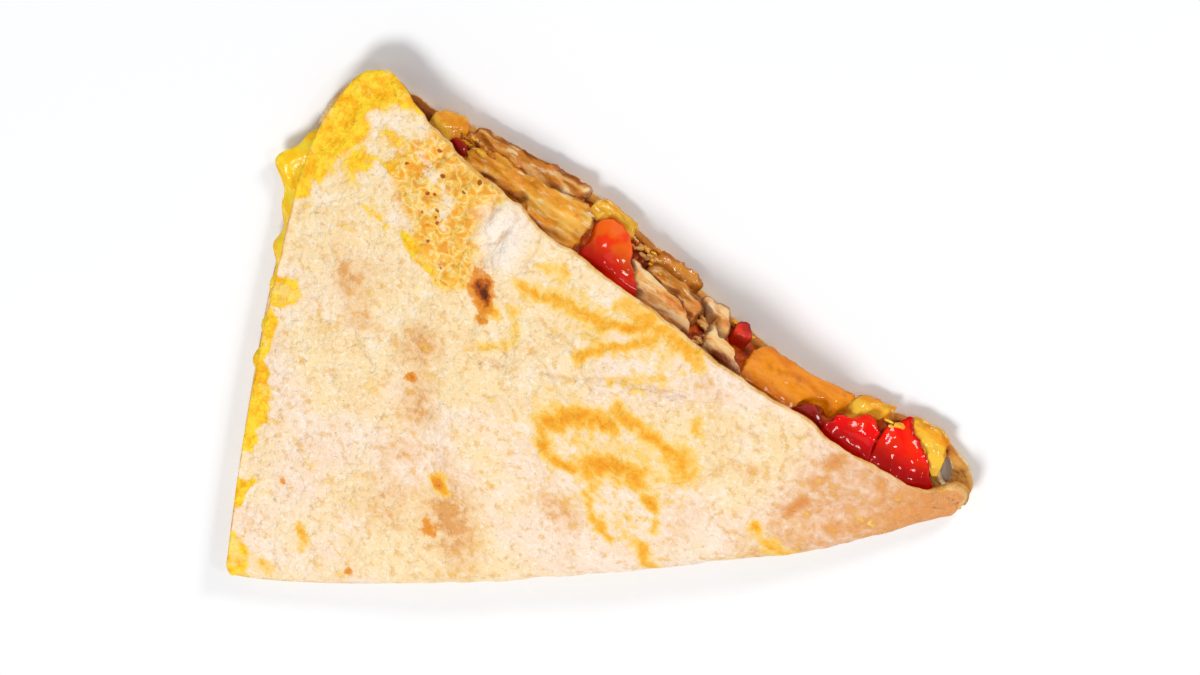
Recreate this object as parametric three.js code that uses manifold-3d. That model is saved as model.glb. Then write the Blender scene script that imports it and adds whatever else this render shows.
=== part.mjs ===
// A wedge of quesadilla: a quarter of a filled flour tortilla that was folded over into a half-moon,
// toasted, and cut from the middle of the fold out to the rim. The sheet lies flat, turns up round the
// fold at the back and comes forward again as the domed upper layer. The cut side shows the filling.
// Millimetres, +Z up. The wedge's point is towards -X, the cut side faces -Y, the fold is at the back.

import * as THREE from 'three';
import { mergeVertices } from 'three/addons/utils/BufferGeometryUtils.js';
import Module from 'manifold-3d';

const { clamp, degToRad, lerp, smoothstep } = THREE.MathUtils;

// Driving dimensions of the wedge, in millimetres from its point.
const WEDGE_ANGLE = degToRad(45);
const SHEET = 2;
const GAP = 0.35;
const UNDER_GAP = 0.45;
const RIM = { radius: 124.2, flare: 5.4, hollow: 2.6, corner: 6, cornerShare: 0.04 };
const RIM_OVERHANG = { upper: -0.5, lower: 0.1 };

// The tip: the sheet starts later at the fold and at the cut than between them, where it bows out to
// a blunt end. Its two layers are pinched together there.
const TIP = { fold: 2, shoulder: 0.3, cut: 1.5, blunt: 0.9, bluntTo: 8 };
const TIP_PINCH = { by: 1.5, from: 0.5, to: 6 };

// How far the fold bows out: at the point, further along, and drawn back again at the rim.
const FOLD_BOW = { tip: 2.4, side: 2.9, reach: 30, rim: 5.2, length: 129 };

// The upper layer's cut edge: falling away at both ends, drawn back over its first half, and wavy
// where the filling has pulled it back or let it hang over.
const UPPER_EDGE = { corner: -4.2, cornerFrom: 102, cornerTo: 119, tip: -3.8, tipTo: 4.6 };
const UPPER_RECESS = { by: 0.7, from: 3, to: 6, endFrom: 64, endTo: 78 };
const UPPER_WAVES = [
  { at: 8.5, spread: 2.5, by: 0.3 },
  { at: 20, spread: 7, by: 1.1 },
  { at: 27.8, spread: 1.8, by: -0.75 },
  { at: 36, spread: 3.5, by: 0.35 },
  { at: 81, spread: 4.5, by: 1.4 },
  { at: 86.5, spread: 3.3, by: -0.65 },
  { at: 105, spread: 2.5, by: -0.45 },
];

// The upper layer is pressed thinner by the knife, from its inner side, over a few millimetres.
const CUT_THINNING = { by: 0.8, over: 5, tipFrom: 3, tipTo: 9 };

// The lower layer's cut edge: pushed out by the filling at the tip and towards the corner.
const LOWER_EDGE = { out: 0.7, tipFrom: -3, tipTo: 1, cornerFrom: 98, cornerTo: 112, cornerCut: 0.55 };
const LOWER_BULGES = [
  { at: 9, spread: 9.5, by: 5.3 },
  { at: 78, spread: 16, by: 4.3 },
];

// Height of the top surface: at the pinched rim, and how far it rises above that elsewhere.
const RIM_HEIGHT = 6;
const FOLD_RISE = 5;
const CUT_RISE = 7;
const DOME_RISE = 8.5;
const TOP_WAVE = 0.5;
const TIP_LIP = { x: 2.5, y: -7, spreadX: 2.6, spreadY: 2, height: 1.2 };

// The filling: how thick the melted cheese is, and where the inner layers start and stop.
const CHEESE = { thickness: 1.6, front: 6.9, start: 18, side: 0.07, ooze: -0.6, lump: 0.5, lumps: 31 };
const CHEESE_KNOB = { angle: 0.14, spread: 0.04, out: 3 };
const CORE = { front: 7.3, start: 22, side: 0.11, margin: 13 };
const FRONT = { foot: -1.2, head: 0.1, height: 9, low: 0.01, high: 0.97 };

// The small opening between the curled tip of the tortilla and the filling.
const TIP_HOLE = { x: 4.1, y: -1.8, z: 0.6, length: 5.4, width: 2.2, turn: degToRad(-64) };

// Tessellation.
const SHEET_STEPS = { along: 34, layer: 14, bend: 8 };
const CHEESE_STEPS = { along: 22, across: 14 };
const CORE_STEPS = { along: 16, across: 12 };
const CHUNK_STEPS = { outline: 22, edge: 2 };

const COLOURS = {
  tortilla: 0xf2dcb8,
  cheese: 0xf5b521,
  filling: 0x9a4f1c,
  chicken: 0xc98d4e,
  tomato: 0xe0230c,
  pepper: 0xa81c10,
};

const bell = (value, centre, spread) => Math.exp(-0.5 * ((value - centre) / spread) ** 2);

// ---- Plan outline: the cut edges, the fold and the rim ----

const bumps = (list, x) => list.reduce((sum, { at, spread, by }) => sum + by * bell(x, at, spread), 0);

function upperEdge(x) {
  const { corner, cornerFrom, cornerTo, tip, tipTo } = UPPER_EDGE;
  const ends = corner * smoothstep(x, cornerFrom, cornerTo) + tip * (1 - smoothstep(x, 0, tipTo));
  const { by, from, to, endFrom, endTo } = UPPER_RECESS;
  const recess = by * smoothstep(x, from, to) * (1 - smoothstep(x, endFrom, endTo));
  return ends + recess + bumps(UPPER_WAVES, x);
}

function lowerEdge(x) {
  const { out, tipFrom, tipTo, cornerFrom, cornerTo, cornerCut } = LOWER_EDGE;
  const tip = smoothstep(x, tipFrom, tipTo);
  const corner = 1 - cornerCut * smoothstep(x, cornerFrom, cornerTo);
  return -(out + bumps(LOWER_BULGES, x)) * tip * corner;
}

// The rim's distance from the point, by the angle from the cut side.
function rimRadius(angle) {
  const share = clamp(angle / WEDGE_ANGLE, 0, 1);
  const flare = RIM.flare * share ** 6;
  const hollow = RIM.hollow * Math.sin(Math.PI * share) ** 2;
  return RIM.radius + flare - hollow - RIM.corner * Math.exp(-share / RIM.cornerShare);
}

// How far the fold bows out past a straight line from the point at the wedge angle.
function foldBow(r) {
  const { tip, side, reach, rim, length } = FOLD_BOW;
  return tip + side * smoothstep(r, 0, reach) - rim * (r / length) ** 5;
}

const foldAlong = new THREE.Vector2(Math.cos(WEDGE_ANGLE), Math.sin(WEDGE_ANGLE));
const foldInward = new THREE.Vector2(Math.sin(WEDGE_ANGLE), -Math.cos(WEDGE_ANGLE));
const middle = new THREE.Vector2(Math.cos(WEDGE_ANGLE / 2), Math.sin(WEDGE_ANGLE / 2));

function fromFold(r, offset) {
  return foldAlong.clone().multiplyScalar(r).addScaledVector(foldInward, offset);
}

// A point of a layer: q runs from 0 where the bend ends to 1 at the given front line.
function planPoint(r, q, frontLine) {
  const back = fromFold(r, bendRadius(r) - foldBow(r));
  const front = new THREE.Vector2(r, frontLine(r));
  const arc = r * (Math.cos((q - 0.5) * WEDGE_ANGLE) - Math.cos(WEDGE_ANGLE / 2));
  return back.lerp(front, q).addScaledVector(middle, arc);
}

// ---- Height of the wedge ----

function swell(r, rim) {
  const share = clamp(r / rim, 0, 1);
  return Math.sin(Math.PI * share ** 0.8) ** 0.9;
}

const tipPinch = (r) => TIP_PINCH.by * (1 - smoothstep(r, TIP_PINCH.from, TIP_PINCH.to));

function foldHeight(r) {
  return RIM_HEIGHT - tipPinch(r) + FOLD_RISE * swell(r, rimRadius(WEDGE_ANGLE));
}

function bendRadius(r) {
  return (foldHeight(r) - SHEET) / 2;
}

function topHeight(x, y) {
  const r = Math.hypot(x, y);
  const angle = clamp(Math.atan2(y, Math.max(x, 1)), 0, WEDGE_ANGLE);
  const q = 1 - angle / WEDGE_ANGLE;
  const dome = (DOME_RISE - FOLD_RISE) * smoothstep(q, 0, 0.55);
  const rise = FOLD_RISE + dome - (DOME_RISE - CUT_RISE) * smoothstep(q, 0.6, 1);
  const lift = swell(r, rimRadius(angle));
  const wave = Math.sin(x / 6.5 + 1.3) * Math.cos(y / 5.6 + 0.4) + 0.7 * Math.sin((x + y) / 3.7 + 2);
  return RIM_HEIGHT - tipPinch(r) + rise * lift + TOP_WAVE * wave * lift * smoothstep(q, 0.05, 0.35);
}

// The lower layer lies flat but for the lip that curls up at the tip.
function floorLift(x, y) {
  return TIP_LIP.height * bell(x, TIP_LIP.x, TIP_LIP.spreadX) * bell(y, TIP_LIP.y, TIP_LIP.spreadY);
}

function cutThinning(x, y) {
  const { by, over, tipFrom, tipTo } = CUT_THINNING;
  return by * (1 - smoothstep(y - upperEdge(x), 0, over)) * smoothstep(x, tipFrom, tipTo);
}

const cavityFloor = (x, y) => SHEET + floorLift(x, y) + GAP;
const cavityCeiling = (x, y) => topHeight(x, y) - SHEET - UNDER_GAP + cutThinning(x, y);

// ---- Closed solids from two matching grids of points ----

function stitch(outer, inner, rows, columns) {
  const positions = [...outer, ...inner].flatMap((p) => [p.x, p.y, p.z]);
  const offset = outer.length;
  const at = (row, column) => row * columns + column;
  const faces = [];
  const quad = (a, b, c, d) => faces.push(a, b, c, a, c, d);
  for (let row = 0; row < rows - 1; row += 1) {
    for (let column = 0; column < columns - 1; column += 1) {
      const corners = [at(row, column), at(row, column + 1), at(row + 1, column + 1), at(row + 1, column)];
      quad(...corners);
      quad(...corners.reverse().map((index) => index + offset));
    }
  }
  const wall = (a, b) => quad(b, a, a + offset, b + offset);
  for (let row = 0; row < rows - 1; row += 1) {
    wall(at(row + 1, 0), at(row, 0));
    wall(at(row, columns - 1), at(row + 1, columns - 1));
  }
  for (let column = 0; column < columns - 1; column += 1) {
    wall(at(0, column), at(0, column + 1));
    wall(at(rows - 1, column + 1), at(rows - 1, column));
  }
  const geometry = new THREE.BufferGeometry();
  geometry.setAttribute('position', new THREE.Float32BufferAttribute(positions, 3));
  geometry.setIndex(faces);
  return geometry;
}

function grid(rows, columns, pointAt) {
  const points = [];
  for (let row = 0; row < rows; row += 1) {
    for (let column = 0; column < columns; column += 1) {
      points.push(pointAt(row / (rows - 1), column / (columns - 1)));
    }
  }
  return points;
}

// ---- The folded tortilla ----

// The middle of the sheet: u from the tip to the rim; v from -1 at the lower cut edge, through the
// bend, to 1 at the upper cut edge.
const BEND_SHARE = SHEET_STEPS.bend / (SHEET_STEPS.bend + 2 * SHEET_STEPS.layer);

function sheetMiddle(u, v) {
  const upper = v > 0;
  const q = (Math.abs(v) - BEND_SHARE) / (1 - BEND_SHARE);
  const overhang = upper ? RIM_OVERHANG.upper : RIM_OVERHANG.lower;
  const rim = rimRadius(WEDGE_ANGLE * clamp(1 - q, 0, 1)) + overhang;
  const share = Math.abs(v);
  const atFold = TIP.fold * (1 - smoothstep(share, 0, TIP.shoulder));
  const r = lerp(atFold + TIP.cut * smoothstep(share, 1 - TIP.shoulder, 1), rim, u);
  const blunt = TIP.blunt * Math.sin(Math.PI * share) * (1 - smoothstep(r, 0, TIP.bluntTo));
  if (q <= 0) {
    const turn = ((v / BEND_SHARE) * Math.PI) / 2;
    const bend = bendRadius(r);
    const plan = fromFold(r, bend * (1 - Math.cos(turn)) - foldBow(r));
    return new THREE.Vector3(plan.x - blunt, plan.y, SHEET / 2 + bend * (1 + Math.sin(turn)));
  }
  const plan = planPoint(r, q, upper ? upperEdge : lowerEdge);
  if (!upper) {
    return new THREE.Vector3(plan.x - blunt, plan.y, SHEET / 2 + floorLift(plan.x, plan.y));
  }
  const top = lerp(foldHeight(r), topHeight(plan.x, plan.y), smoothstep(q, 0, 0.12));
  return new THREE.Vector3(plan.x - blunt, plan.y, top - SHEET / 2);
}

function sheetOutward(u, v) {
  const step = 1e-3;
  const along = sheetMiddle(u + step, v).sub(sheetMiddle(u - step, v));
  const across = sheetMiddle(u, v + step).sub(sheetMiddle(u, v - step));
  return across.cross(along).normalize();
}

function foldedSheet() {
  const rows = SHEET_STEPS.along + 1;
  const columns = SHEET_STEPS.bend + 2 * SHEET_STEPS.layer + 1;
  const side = (sign) => grid(rows, columns, (u, share) => {
    const v = lerp(-1, 1, share);
    const middlePoint = sheetMiddle(u, v);
    const half = (SHEET / 2) * (1 - 0.25 * smoothstep(u, 0.95, 1));
    const pressed = sign < 0 && v > BEND_SHARE ? cutThinning(middlePoint.x, middlePoint.y) : 0;
    return middlePoint.addScaledVector(sheetOutward(u, v), sign * (half - pressed));
  });
  return stitch(side(1), side(-1), rows, columns);
}

const wasm = await Module();
wasm.setup();

function toSolid(geometry) {
  const bare = geometry.clone();
  bare.deleteAttribute('normal');
  bare.deleteAttribute('uv');
  const merged = mergeVertices(bare);
  const vertProperties = new Float32Array(merged.attributes.position.array);
  const triVerts = new Uint32Array(merged.index.array);
  return new wasm.Manifold(new wasm.Mesh({ numProp: 3, vertProperties, triVerts }));
}

function fromSolid(solid) {
  const mesh = solid.getMesh();
  const geometry = new THREE.BufferGeometry();
  geometry.setAttribute('position', new THREE.Float32BufferAttribute(mesh.vertProperties, mesh.numProp));
  geometry.setIndex([...mesh.triVerts]);
  return geometry;
}

function holeCutter() {
  const slot = new THREE.CapsuleGeometry(TIP_HOLE.width / 2, TIP_HOLE.length - TIP_HOLE.width, 4, 12);
  slot.scale(1, 1, 3);
  slot.rotateZ(TIP_HOLE.turn - Math.PI / 2);
  slot.translate(TIP_HOLE.x, TIP_HOLE.y, TIP_HOLE.z);
  return slot;
}

function tortilla() {
  return fromSolid(toSolid(foldedSheet()).subtract(toSolid(holeCutter())));
}

// ---- The inner layers, which run through the wedge ----

function cheeseBottom(x, y) {
  return Math.max(cavityCeiling(x, y) - CHEESE.thickness, cavityFloor(x, y));
}

function layer({ start, rimMargin, sideMargin, front, top, bottom, steps }) {
  const rows = steps.along + 1;
  const columns = steps.across + 1;
  const surface = (height) => grid(rows, columns, (u, v) => {
    const q = lerp(sideMargin, 1, v);
    const angle = WEDGE_ANGLE * (1 - q);
    const r = lerp(start, rimRadius(angle) - rimMargin(angle), u);
    const plan = planPoint(r, q, front);
    return new THREE.Vector3(plan.x, plan.y, height(plan.x, plan.y));
  });
  return stitch(surface(top), surface(bottom), rows, columns);
}

// Melted cheese under the upper layer; it runs out past the rim in soft lumps.
function cheeseLayer() {
  const lumps = (angle) => CHEESE.ooze + CHEESE.lump * Math.sin(angle * CHEESE.lumps);
  const knob = (angle) => CHEESE_KNOB.out * bell(angle, CHEESE_KNOB.angle, CHEESE_KNOB.spread);
  return layer({
    start: CHEESE.start,
    rimMargin: (angle) => -lumps(angle) - knob(angle),
    sideMargin: CHEESE.side,
    front: () => CHEESE.front,
    top: cavityCeiling,
    bottom: cheeseBottom,
    steps: CHEESE_STEPS,
  });
}

// Chicken, sauce and vegetables as one core between the cheese and the lower layer.
function fillingCore() {
  return layer({
    start: CORE.start,
    rimMargin: () => CORE.margin,
    sideMargin: CORE.side,
    front: () => CORE.front,
    top: (x, y) => cheeseBottom(x, y) - GAP,
    bottom: cavityFloor,
    steps: CORE_STEPS,
  });
}

// ---- The pieces that show along the cut ----

// The filling's front runs from the lower cut edge, level 0, up to the upper one, level 1.
function frontPoint(x, level, depth) {
  const foot = lowerEdge(x) + FRONT.foot;
  const head = upperEdge(x) + FRONT.head;
  const y = lerp(foot, head, level) + depth;
  const height = clamp(level, FRONT.low, FRONT.high);
  return new THREE.Vector3(x, y, lerp(cavityFloor(x, y), cavityCeiling(x, y), height));
}

// A piece whose outline on the front is drawn round through a few corners. It reaches from the near
// to the far depth behind the front, and its edges are rounded off.
function chunk({ outline, depth: [near, far], edge = 0.7 }) {
  const corners = outline.map(([x, level]) => new THREE.Vector3(x, level * FRONT.height, 0));
  const round = new THREE.CatmullRomCurve3(corners, true, 'centripetal').getSpacedPoints(CHUNK_STEPS.outline);
  const shape = new THREE.Shape(round.slice(0, -1).map(({ x, y }) => new THREE.Vector2(x, y)));
  const body = new THREE.ExtrudeGeometry(shape, {
    depth: far - near - 2 * edge,
    bevelThickness: edge,
    bevelSize: edge,
    bevelOffset: -edge,
    bevelSegments: CHUNK_STEPS.edge,
  });
  const { position } = body.attributes;
  for (let index = 0; index < position.count; index += 1) {
    const level = position.getY(index) / FRONT.height;
    const point = frontPoint(position.getX(index), level, far - edge - position.getZ(index));
    position.setXYZ(index, point.x, point.y, point.z);
  }
  body.deleteAttribute('normal');
  body.deleteAttribute('uv');
  return mergeVertices(body);
}

// Corners of each piece: millimetres along the cut from the wedge's point, and levels up the front.
// Depths are in millimetres behind the front.
const CHUNKS = {
  tomato_1: {
    outline: [
      [75.2, 0.5], [74.6, 0.27], [72.8, 0.15], [70, 0.2], [68.2, 0.4],
      [66.4, 0.62], [64.6, 0.82], [63, 0.98], [74.2, 0.98], [74.8, 0.75],
    ],
    depth: [-0.7, 4.6],
    edge: 0.5,
  },
  tomato_2: {
    outline: [
      [19.4, 0.24], [21.4, 0.36], [23, 0.52], [24.2, 0.78], [24.7, 0.98],
      [15.9, 0.98], [16.4, 0.75], [17.1, 0.5], [18, 0.32],
    ],
    depth: [-0.7, 4.2],
  },
  tomato_3: {
    outline: [
      [14.1, 0.05], [15.4, 0.16], [16.4, 0.38], [15.9, 0.7], [15.1, 0.98], [5.4, 0.98],
      [4.4, 0.93], [6.2, 0.66], [8, 0.47], [10.5, 0.34], [12.5, 0.24],
    ],
    depth: [-0.5, 2.8],
  },
  chicken_1: {
    outline: [
      [99.8, 0.55], [96.5, 0.43], [91, 0.38], [86, 0.35], [81, 0.3], [77.4, 0.3], [75.6, 0.5],
      [75.6, 0.86], [78.5, 0.95], [84, 0.93], [87.6, 0.76], [90, 0.93], [98.6, 0.92],
    ],
    depth: [-0.2, 5],
  },
  chicken_2: {
    outline: [
      [100.6, 0.14], [99, 0.02], [94, 0], [87, 0], [81, 0.02],
      [79.3, 0.08], [80.5, 0.2], [85, 0.26], [91, 0.29], [96, 0.33], [99.4, 0.28],
    ],
    depth: [-0.2, 4],
    edge: 0.5,
  },
  chicken_3: {
    outline: [
      [66.8, 0.5], [64.5, 0.52], [60, 0.54], [56.8, 0.55], [54.8, 0.66],
      [53.2, 0.8], [52.1, 0.97], [62.3, 0.98], [64.2, 0.78], [65.7, 0.62],
    ],
    depth: [-0.3, 5],
    edge: 0.4,
  },
  chicken_4: {
    outline: [
      [64, 0.38], [62, 0.28], [57, 0.26], [54, 0.27], [52.5, 0.5],
      [53, 0.66], [54.8, 0.58], [56.6, 0.47], [60.5, 0.46], [63, 0.46],
    ],
    depth: [-0.3, 4],
    edge: 0.4,
  },
  chicken_5: {
    outline: [
      [53.6, 0.14], [51, 0.03], [49.3, 0.02], [47.5, 0.25], [46.9, 0.45],
      [48, 0.5], [49.6, 0.36], [51.5, 0.3], [53.2, 0.24],
    ],
    depth: [-0.4, 4.4],
    edge: 0.5,
  },
  chicken_6: {
    outline: [
      [49.6, 0.44], [48.3, 0.57], [47, 0.58], [45.2, 0.57], [43.8, 0.67],
      [42.6, 0.85], [41.9, 0.98], [48.2, 0.98], [49.2, 0.75],
    ],
    depth: [-0.4, 4.6],
    edge: 0.3,
  },
  pepper_1: {
    outline: [[103, 0.8], [101.9, 0.64], [100.4, 0.72], [99.4, 0.96], [101.4, 0.97]],
    depth: [-0.3, 3.4],
    edge: 0.4,
  },
  pepper_2: {
    outline: [[46.6, 0.2], [45.4, 0.06], [43.7, 0.08], [42.9, 0.25], [42.9, 0.44], [43.9, 0.48], [45.8, 0.42]],
    depth: [-0.4, 2.4],
    edge: 0.5,
  },
  pepper_3: {
    outline: [[31, 0.98], [29.8, 0.8], [28.6, 0.7], [26.8, 0.78], [25.5, 0.98]],
    depth: [-0.3, 3],
    edge: 0.4,
  },
  cheese_slab: {
    outline: [
      [42, 0.1], [41, 0.02], [33, 0.01], [26, 0.01], [23.7, 0.06], [23.9, 0.25], [25.6, 0.42],
      [28, 0.46], [29.8, 0.67], [31.5, 0.97], [40.2, 0.98], [41.3, 0.72], [42, 0.42],
    ],
    depth: [-0.1, 4.6],
    edge: 0.6,
  },
  cheese_strip_1: {
    outline: [
      [78, 0.12], [76.8, 0.01], [73.5, 0], [69.5, 0.02], [69.6, 0.12],
      [73, 0.08], [75.2, 0.17], [76.2, 0.22], [77.6, 0.22],
    ],
    depth: [-0.4, 2.4],
    edge: 0.2,
  },
  cheese_strip_2: {
    outline: [
      [22.9, 0.06], [20.5, 0.01], [17, 0.02], [16.4, 0.12],
      [17.6, 0.2], [19.2, 0.14], [21, 0.24], [22.8, 0.34],
    ],
    depth: [-0.4, 3],
    edge: 0.3,
  },
  cheese_strip_3: {
    outline: [
      [13.4, 0.02], [10, 0], [7.4, 0.04], [6.2, 0.2], [5.7, 0.4],
      [5.4, 0.58], [6.4, 0.48], [8.2, 0.35], [10.4, 0.23], [12, 0.14],
    ],
    depth: [-0.5, 1.8],
    edge: 0.2,
  },
  cheese_strip_4: {
    outline: [[63.5, 0.1], [62, 0], [55.5, 0], [54.5, 0.08], [56, 0.18], [62, 0.2]],
    depth: [-0.2, 3],
    edge: 0.4,
  },
  cheese_blob: {
    outline: [
      [107.9, 0.5], [106.5, 0.08], [103.5, 0.02], [101.6, 0.1],
      [101.8, 0.48], [103.7, 0.7], [106.4, 0.85],
    ],
    depth: [-0.4, 4.4],
    edge: 0.6,
  },
};

// ---- Assembly: the origin is under the middle of the wedge's box ----

const wedge = new THREE.Group();

function addPiece(name, geometry, colour, roughness) {
  geometry.computeVertexNormals();
  const material = new THREE.MeshStandardMaterial({ color: COLOURS[colour], roughness, metalness: 0 });
  const mesh = new THREE.Mesh(geometry, material);
  mesh.name = name;
  wedge.add(mesh);
}

addPiece('tortilla', tortilla(), 'tortilla', 0.85);
addPiece('cheese', cheeseLayer(), 'cheese', 0.35);
addPiece('filling', fillingCore(), 'filling', 0.4);
for (const [name, shape] of Object.entries(CHUNKS)) {
  addPiece(name, chunk(shape), name.split('_')[0], 0.3);
}

const box = new THREE.Box3().setFromObject(wedge);
const centre = box.getCenter(new THREE.Vector3());
wedge.position.set(-centre.x, -centre.y, -box.min.z);
wedge.updateMatrixWorld(true);

export default wedge;
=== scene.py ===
import math

import bpy
import numpy as np
from mathutils import Matrix, Vector


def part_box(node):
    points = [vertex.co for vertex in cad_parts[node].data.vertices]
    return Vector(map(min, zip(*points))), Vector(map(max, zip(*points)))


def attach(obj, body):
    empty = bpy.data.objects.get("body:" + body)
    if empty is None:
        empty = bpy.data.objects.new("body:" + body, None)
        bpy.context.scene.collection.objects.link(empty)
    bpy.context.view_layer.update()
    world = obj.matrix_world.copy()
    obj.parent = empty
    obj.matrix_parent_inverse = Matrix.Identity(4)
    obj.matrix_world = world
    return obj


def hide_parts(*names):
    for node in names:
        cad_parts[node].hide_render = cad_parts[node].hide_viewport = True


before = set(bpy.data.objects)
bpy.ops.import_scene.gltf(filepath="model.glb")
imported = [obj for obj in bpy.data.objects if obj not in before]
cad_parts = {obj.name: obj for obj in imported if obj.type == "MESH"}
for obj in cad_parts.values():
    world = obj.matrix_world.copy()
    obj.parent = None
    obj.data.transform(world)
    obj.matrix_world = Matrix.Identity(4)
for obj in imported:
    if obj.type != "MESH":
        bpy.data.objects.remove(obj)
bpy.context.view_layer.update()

# The tortilla: one soft wheat-flour flatbread, about 25 cm across and 2 mm thick, rolled thin and
# griddled. Folded over the filling and toasted again, then cut: this wedge keeps the fold along its
# back, the round rim at its right and a cut edge on each layer at its front.
MM = 0.001
WEDGE_ANGLE = math.radians(45)
SHEET = 2.0
GAP = 0.35
UNDER_GAP = 0.45
RIM_RADIUS = 124.2
RIM_FLARE = 5.4
RIM_HOLLOW = 2.6
RIM_CORNER = 6
RIM_CORNER_SHARE = 0.04
RIM_OVERHANG = {"upper": -0.5, "lower": 0.1}
RIM_HEIGHT = 6.0
FOLD_RISE = 5.0
CUT_RISE = 7.0
DOME_RISE = 8.5
DOME_SPAN = (0, 0.55)
DOME_FALL_SPAN = (0.6, 1)
TOP_WAVE = 0.5
TOP_WAVE_SPAN = (0.05, 0.35)
BEND_SHARE = 8 / 36
BEND_BLEND = 0.12
SHEET_ROWS = 214
SHEET_COLUMNS = {"lower": 34, "bend": 24, "upper": 138}

# How far the fold bows out: at the point, along the side, and drawn back again at the rim.
BOW_TIP = 2.4
BOW_SIDE = 2.9
BOW_REACH = 30
BOW_RIM = 5.2
BOW_LENGTH = 129

# The tip: its layers are pinched together, the lower one curls up in a lip, and the end is blunt.
PINCH = 1.5
PINCH_SPAN = (0.5, 6)
LIP_HEIGHT = 1.2
LIP_AT = (2.5, -7)
LIP_SPREAD = (2.6, 2)
START_AT_FOLD = 2
START_AT_CUT = 1.5
START_SHARE = 0.3
BLUNT = 0.9
BLUNT_TO = 8

# The knife presses the upper layer thinner, from its inner side, over a few millimetres.
PRESSED = 0.8
PRESSED_OVER = 5
PRESSED_SPAN = (3, 9)

# The upper layer's cut edge falls away at both ends and is drawn back over its first half. Where the
# filling has pulled it back or let it hang over it waves: place along the cut, spread, and how far.
CORNER_FALL = 4.2
CORNER_SPAN = (102, 119)
TIP_FALL = 3.8
TIP_SPAN = (0, 4.6)
RECESS = 0.7
RECESS_STARTS = (3, 6)
RECESS_ENDS = (64, 78)
UPPER_WAVES = [
    (8.5, 2.5, 0.3),
    (20, 7, 1.1),
    (27.8, 1.8, -0.75),
    (36, 3.5, 0.35),
    (81, 4.5, 1.4),
    (86.5, 3.3, -0.65),
    (105, 2.5, -0.45),
]

# The lower layer's cut edge stands out a little all along, and more where the filling pushes it out.
LOWER_OUT = 0.7
LOWER_BULGES = [(9, 9.5, 5.3), (78, 16, 4.3)]
LOWER_TIP_SPAN = (-3, 1)
LOWER_CORNER_SPAN = (98, 112)
LOWER_CORNER_CUT = 0.55

# Both cut edges and the rim are finely torn: height and width of the tears, and where they are worst.
RIM_TEAR = 0.45
RIM_TEAR_WIDTH = 1.5
RIM_TEAR_SPAN = (0.4, 0.7)
CUT_TEAR = 0.28
CUT_TEAR_WIDTH = 2.2
CUT_TEAR_SPAN = (1, 6)
WORST_TEAR = 0.3
WORST_TEAR_AT = (100, 14)


def ease(value, low, high):
    """Rises smoothly from 0 to 1 between two values."""
    share = np.clip((value - low) / (high - low), 0, 1)
    return share * share * (3 - 2 * share)


def bell(value, centre, spread):
    """A bump of height 1 round its centre."""
    return np.exp(-0.5 * ((value - centre) / spread) ** 2)


def blend(first, second, share):
    return first + (second - first) * share


LATTICE_SIZE = 40
lattice = np.random.default_rng(11).uniform(-1, 1, (LATTICE_SIZE, LATTICE_SIZE, LATTICE_SIZE))


def rough(points, size, octaves=3, stretch=(1, 1, 1)):
    """Soft unevenness about as high as 1 to either side of 0, in lumps `size` millimetres wide."""
    total = 0
    weight = 1.0
    place = points / (size * np.array(stretch)) + 7.3
    for _ in range(octaves):
        corner = np.floor(place).astype(int)
        share = place - corner
        share = share * share * (3 - 2 * share)
        value = 0
        for step in np.ndindex(2, 2, 2):
            at = (corner + step) % LATTICE_SIZE
            near = np.where(step, share, 1 - share).prod(axis=-1)
            value = value + near * lattice[at[..., 0], at[..., 1], at[..., 2]]
        total = total + weight * value
        weight *= 0.5
        place = place * 2.03 + 3.7
    return total


def upper_edge(x):
    """How far in from a straight cut the upper layer ends."""
    ends = -CORNER_FALL * ease(x, *CORNER_SPAN) - TIP_FALL * (1 - ease(x, *TIP_SPAN))
    recess = RECESS * ease(x, *RECESS_STARTS) * (1 - ease(x, *RECESS_ENDS))
    return ends + recess + sum(by * bell(x, at, spread) for at, spread, by in UPPER_WAVES)


def lower_edge(x):
    """How far in from a straight cut the lower layer ends: below 0, as it stands out."""
    bulge = sum((by * bell(x, at, spread) for at, spread, by in LOWER_BULGES), LOWER_OUT)
    corner = 1 - LOWER_CORNER_CUT * ease(x, *LOWER_CORNER_SPAN)
    return -bulge * ease(x, *LOWER_TIP_SPAN) * corner


def rim_radius(angle):
    """The rim's distance from the wedge's point, by the angle from the cut."""
    share = np.clip(angle / WEDGE_ANGLE, 0, 1)
    hollow = RIM_HOLLOW * np.sin(np.pi * share) ** 2
    corner = RIM_CORNER * np.exp(-share / RIM_CORNER_SHARE)
    return RIM_RADIUS + RIM_FLARE * share**6 - hollow - corner


def fold_bow(r):
    return BOW_TIP + BOW_SIDE * ease(r, 0, BOW_REACH) - BOW_RIM * (r / BOW_LENGTH) ** 5


def swell(r, rim):
    """How much of its full rise the filling gives the sheet: none at the point and the rim."""
    share = np.clip(r / rim, 0, 1)
    return np.clip(np.sin(np.pi * share**0.8), 0, 1) ** 0.9


def tip_pinch(r):
    return PINCH * (1 - ease(r, *PINCH_SPAN))


def fold_height(r):
    return RIM_HEIGHT - tip_pinch(r) + FOLD_RISE * swell(r, rim_radius(WEDGE_ANGLE))


def bend_radius(r):
    return (fold_height(r) - SHEET) / 2


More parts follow.
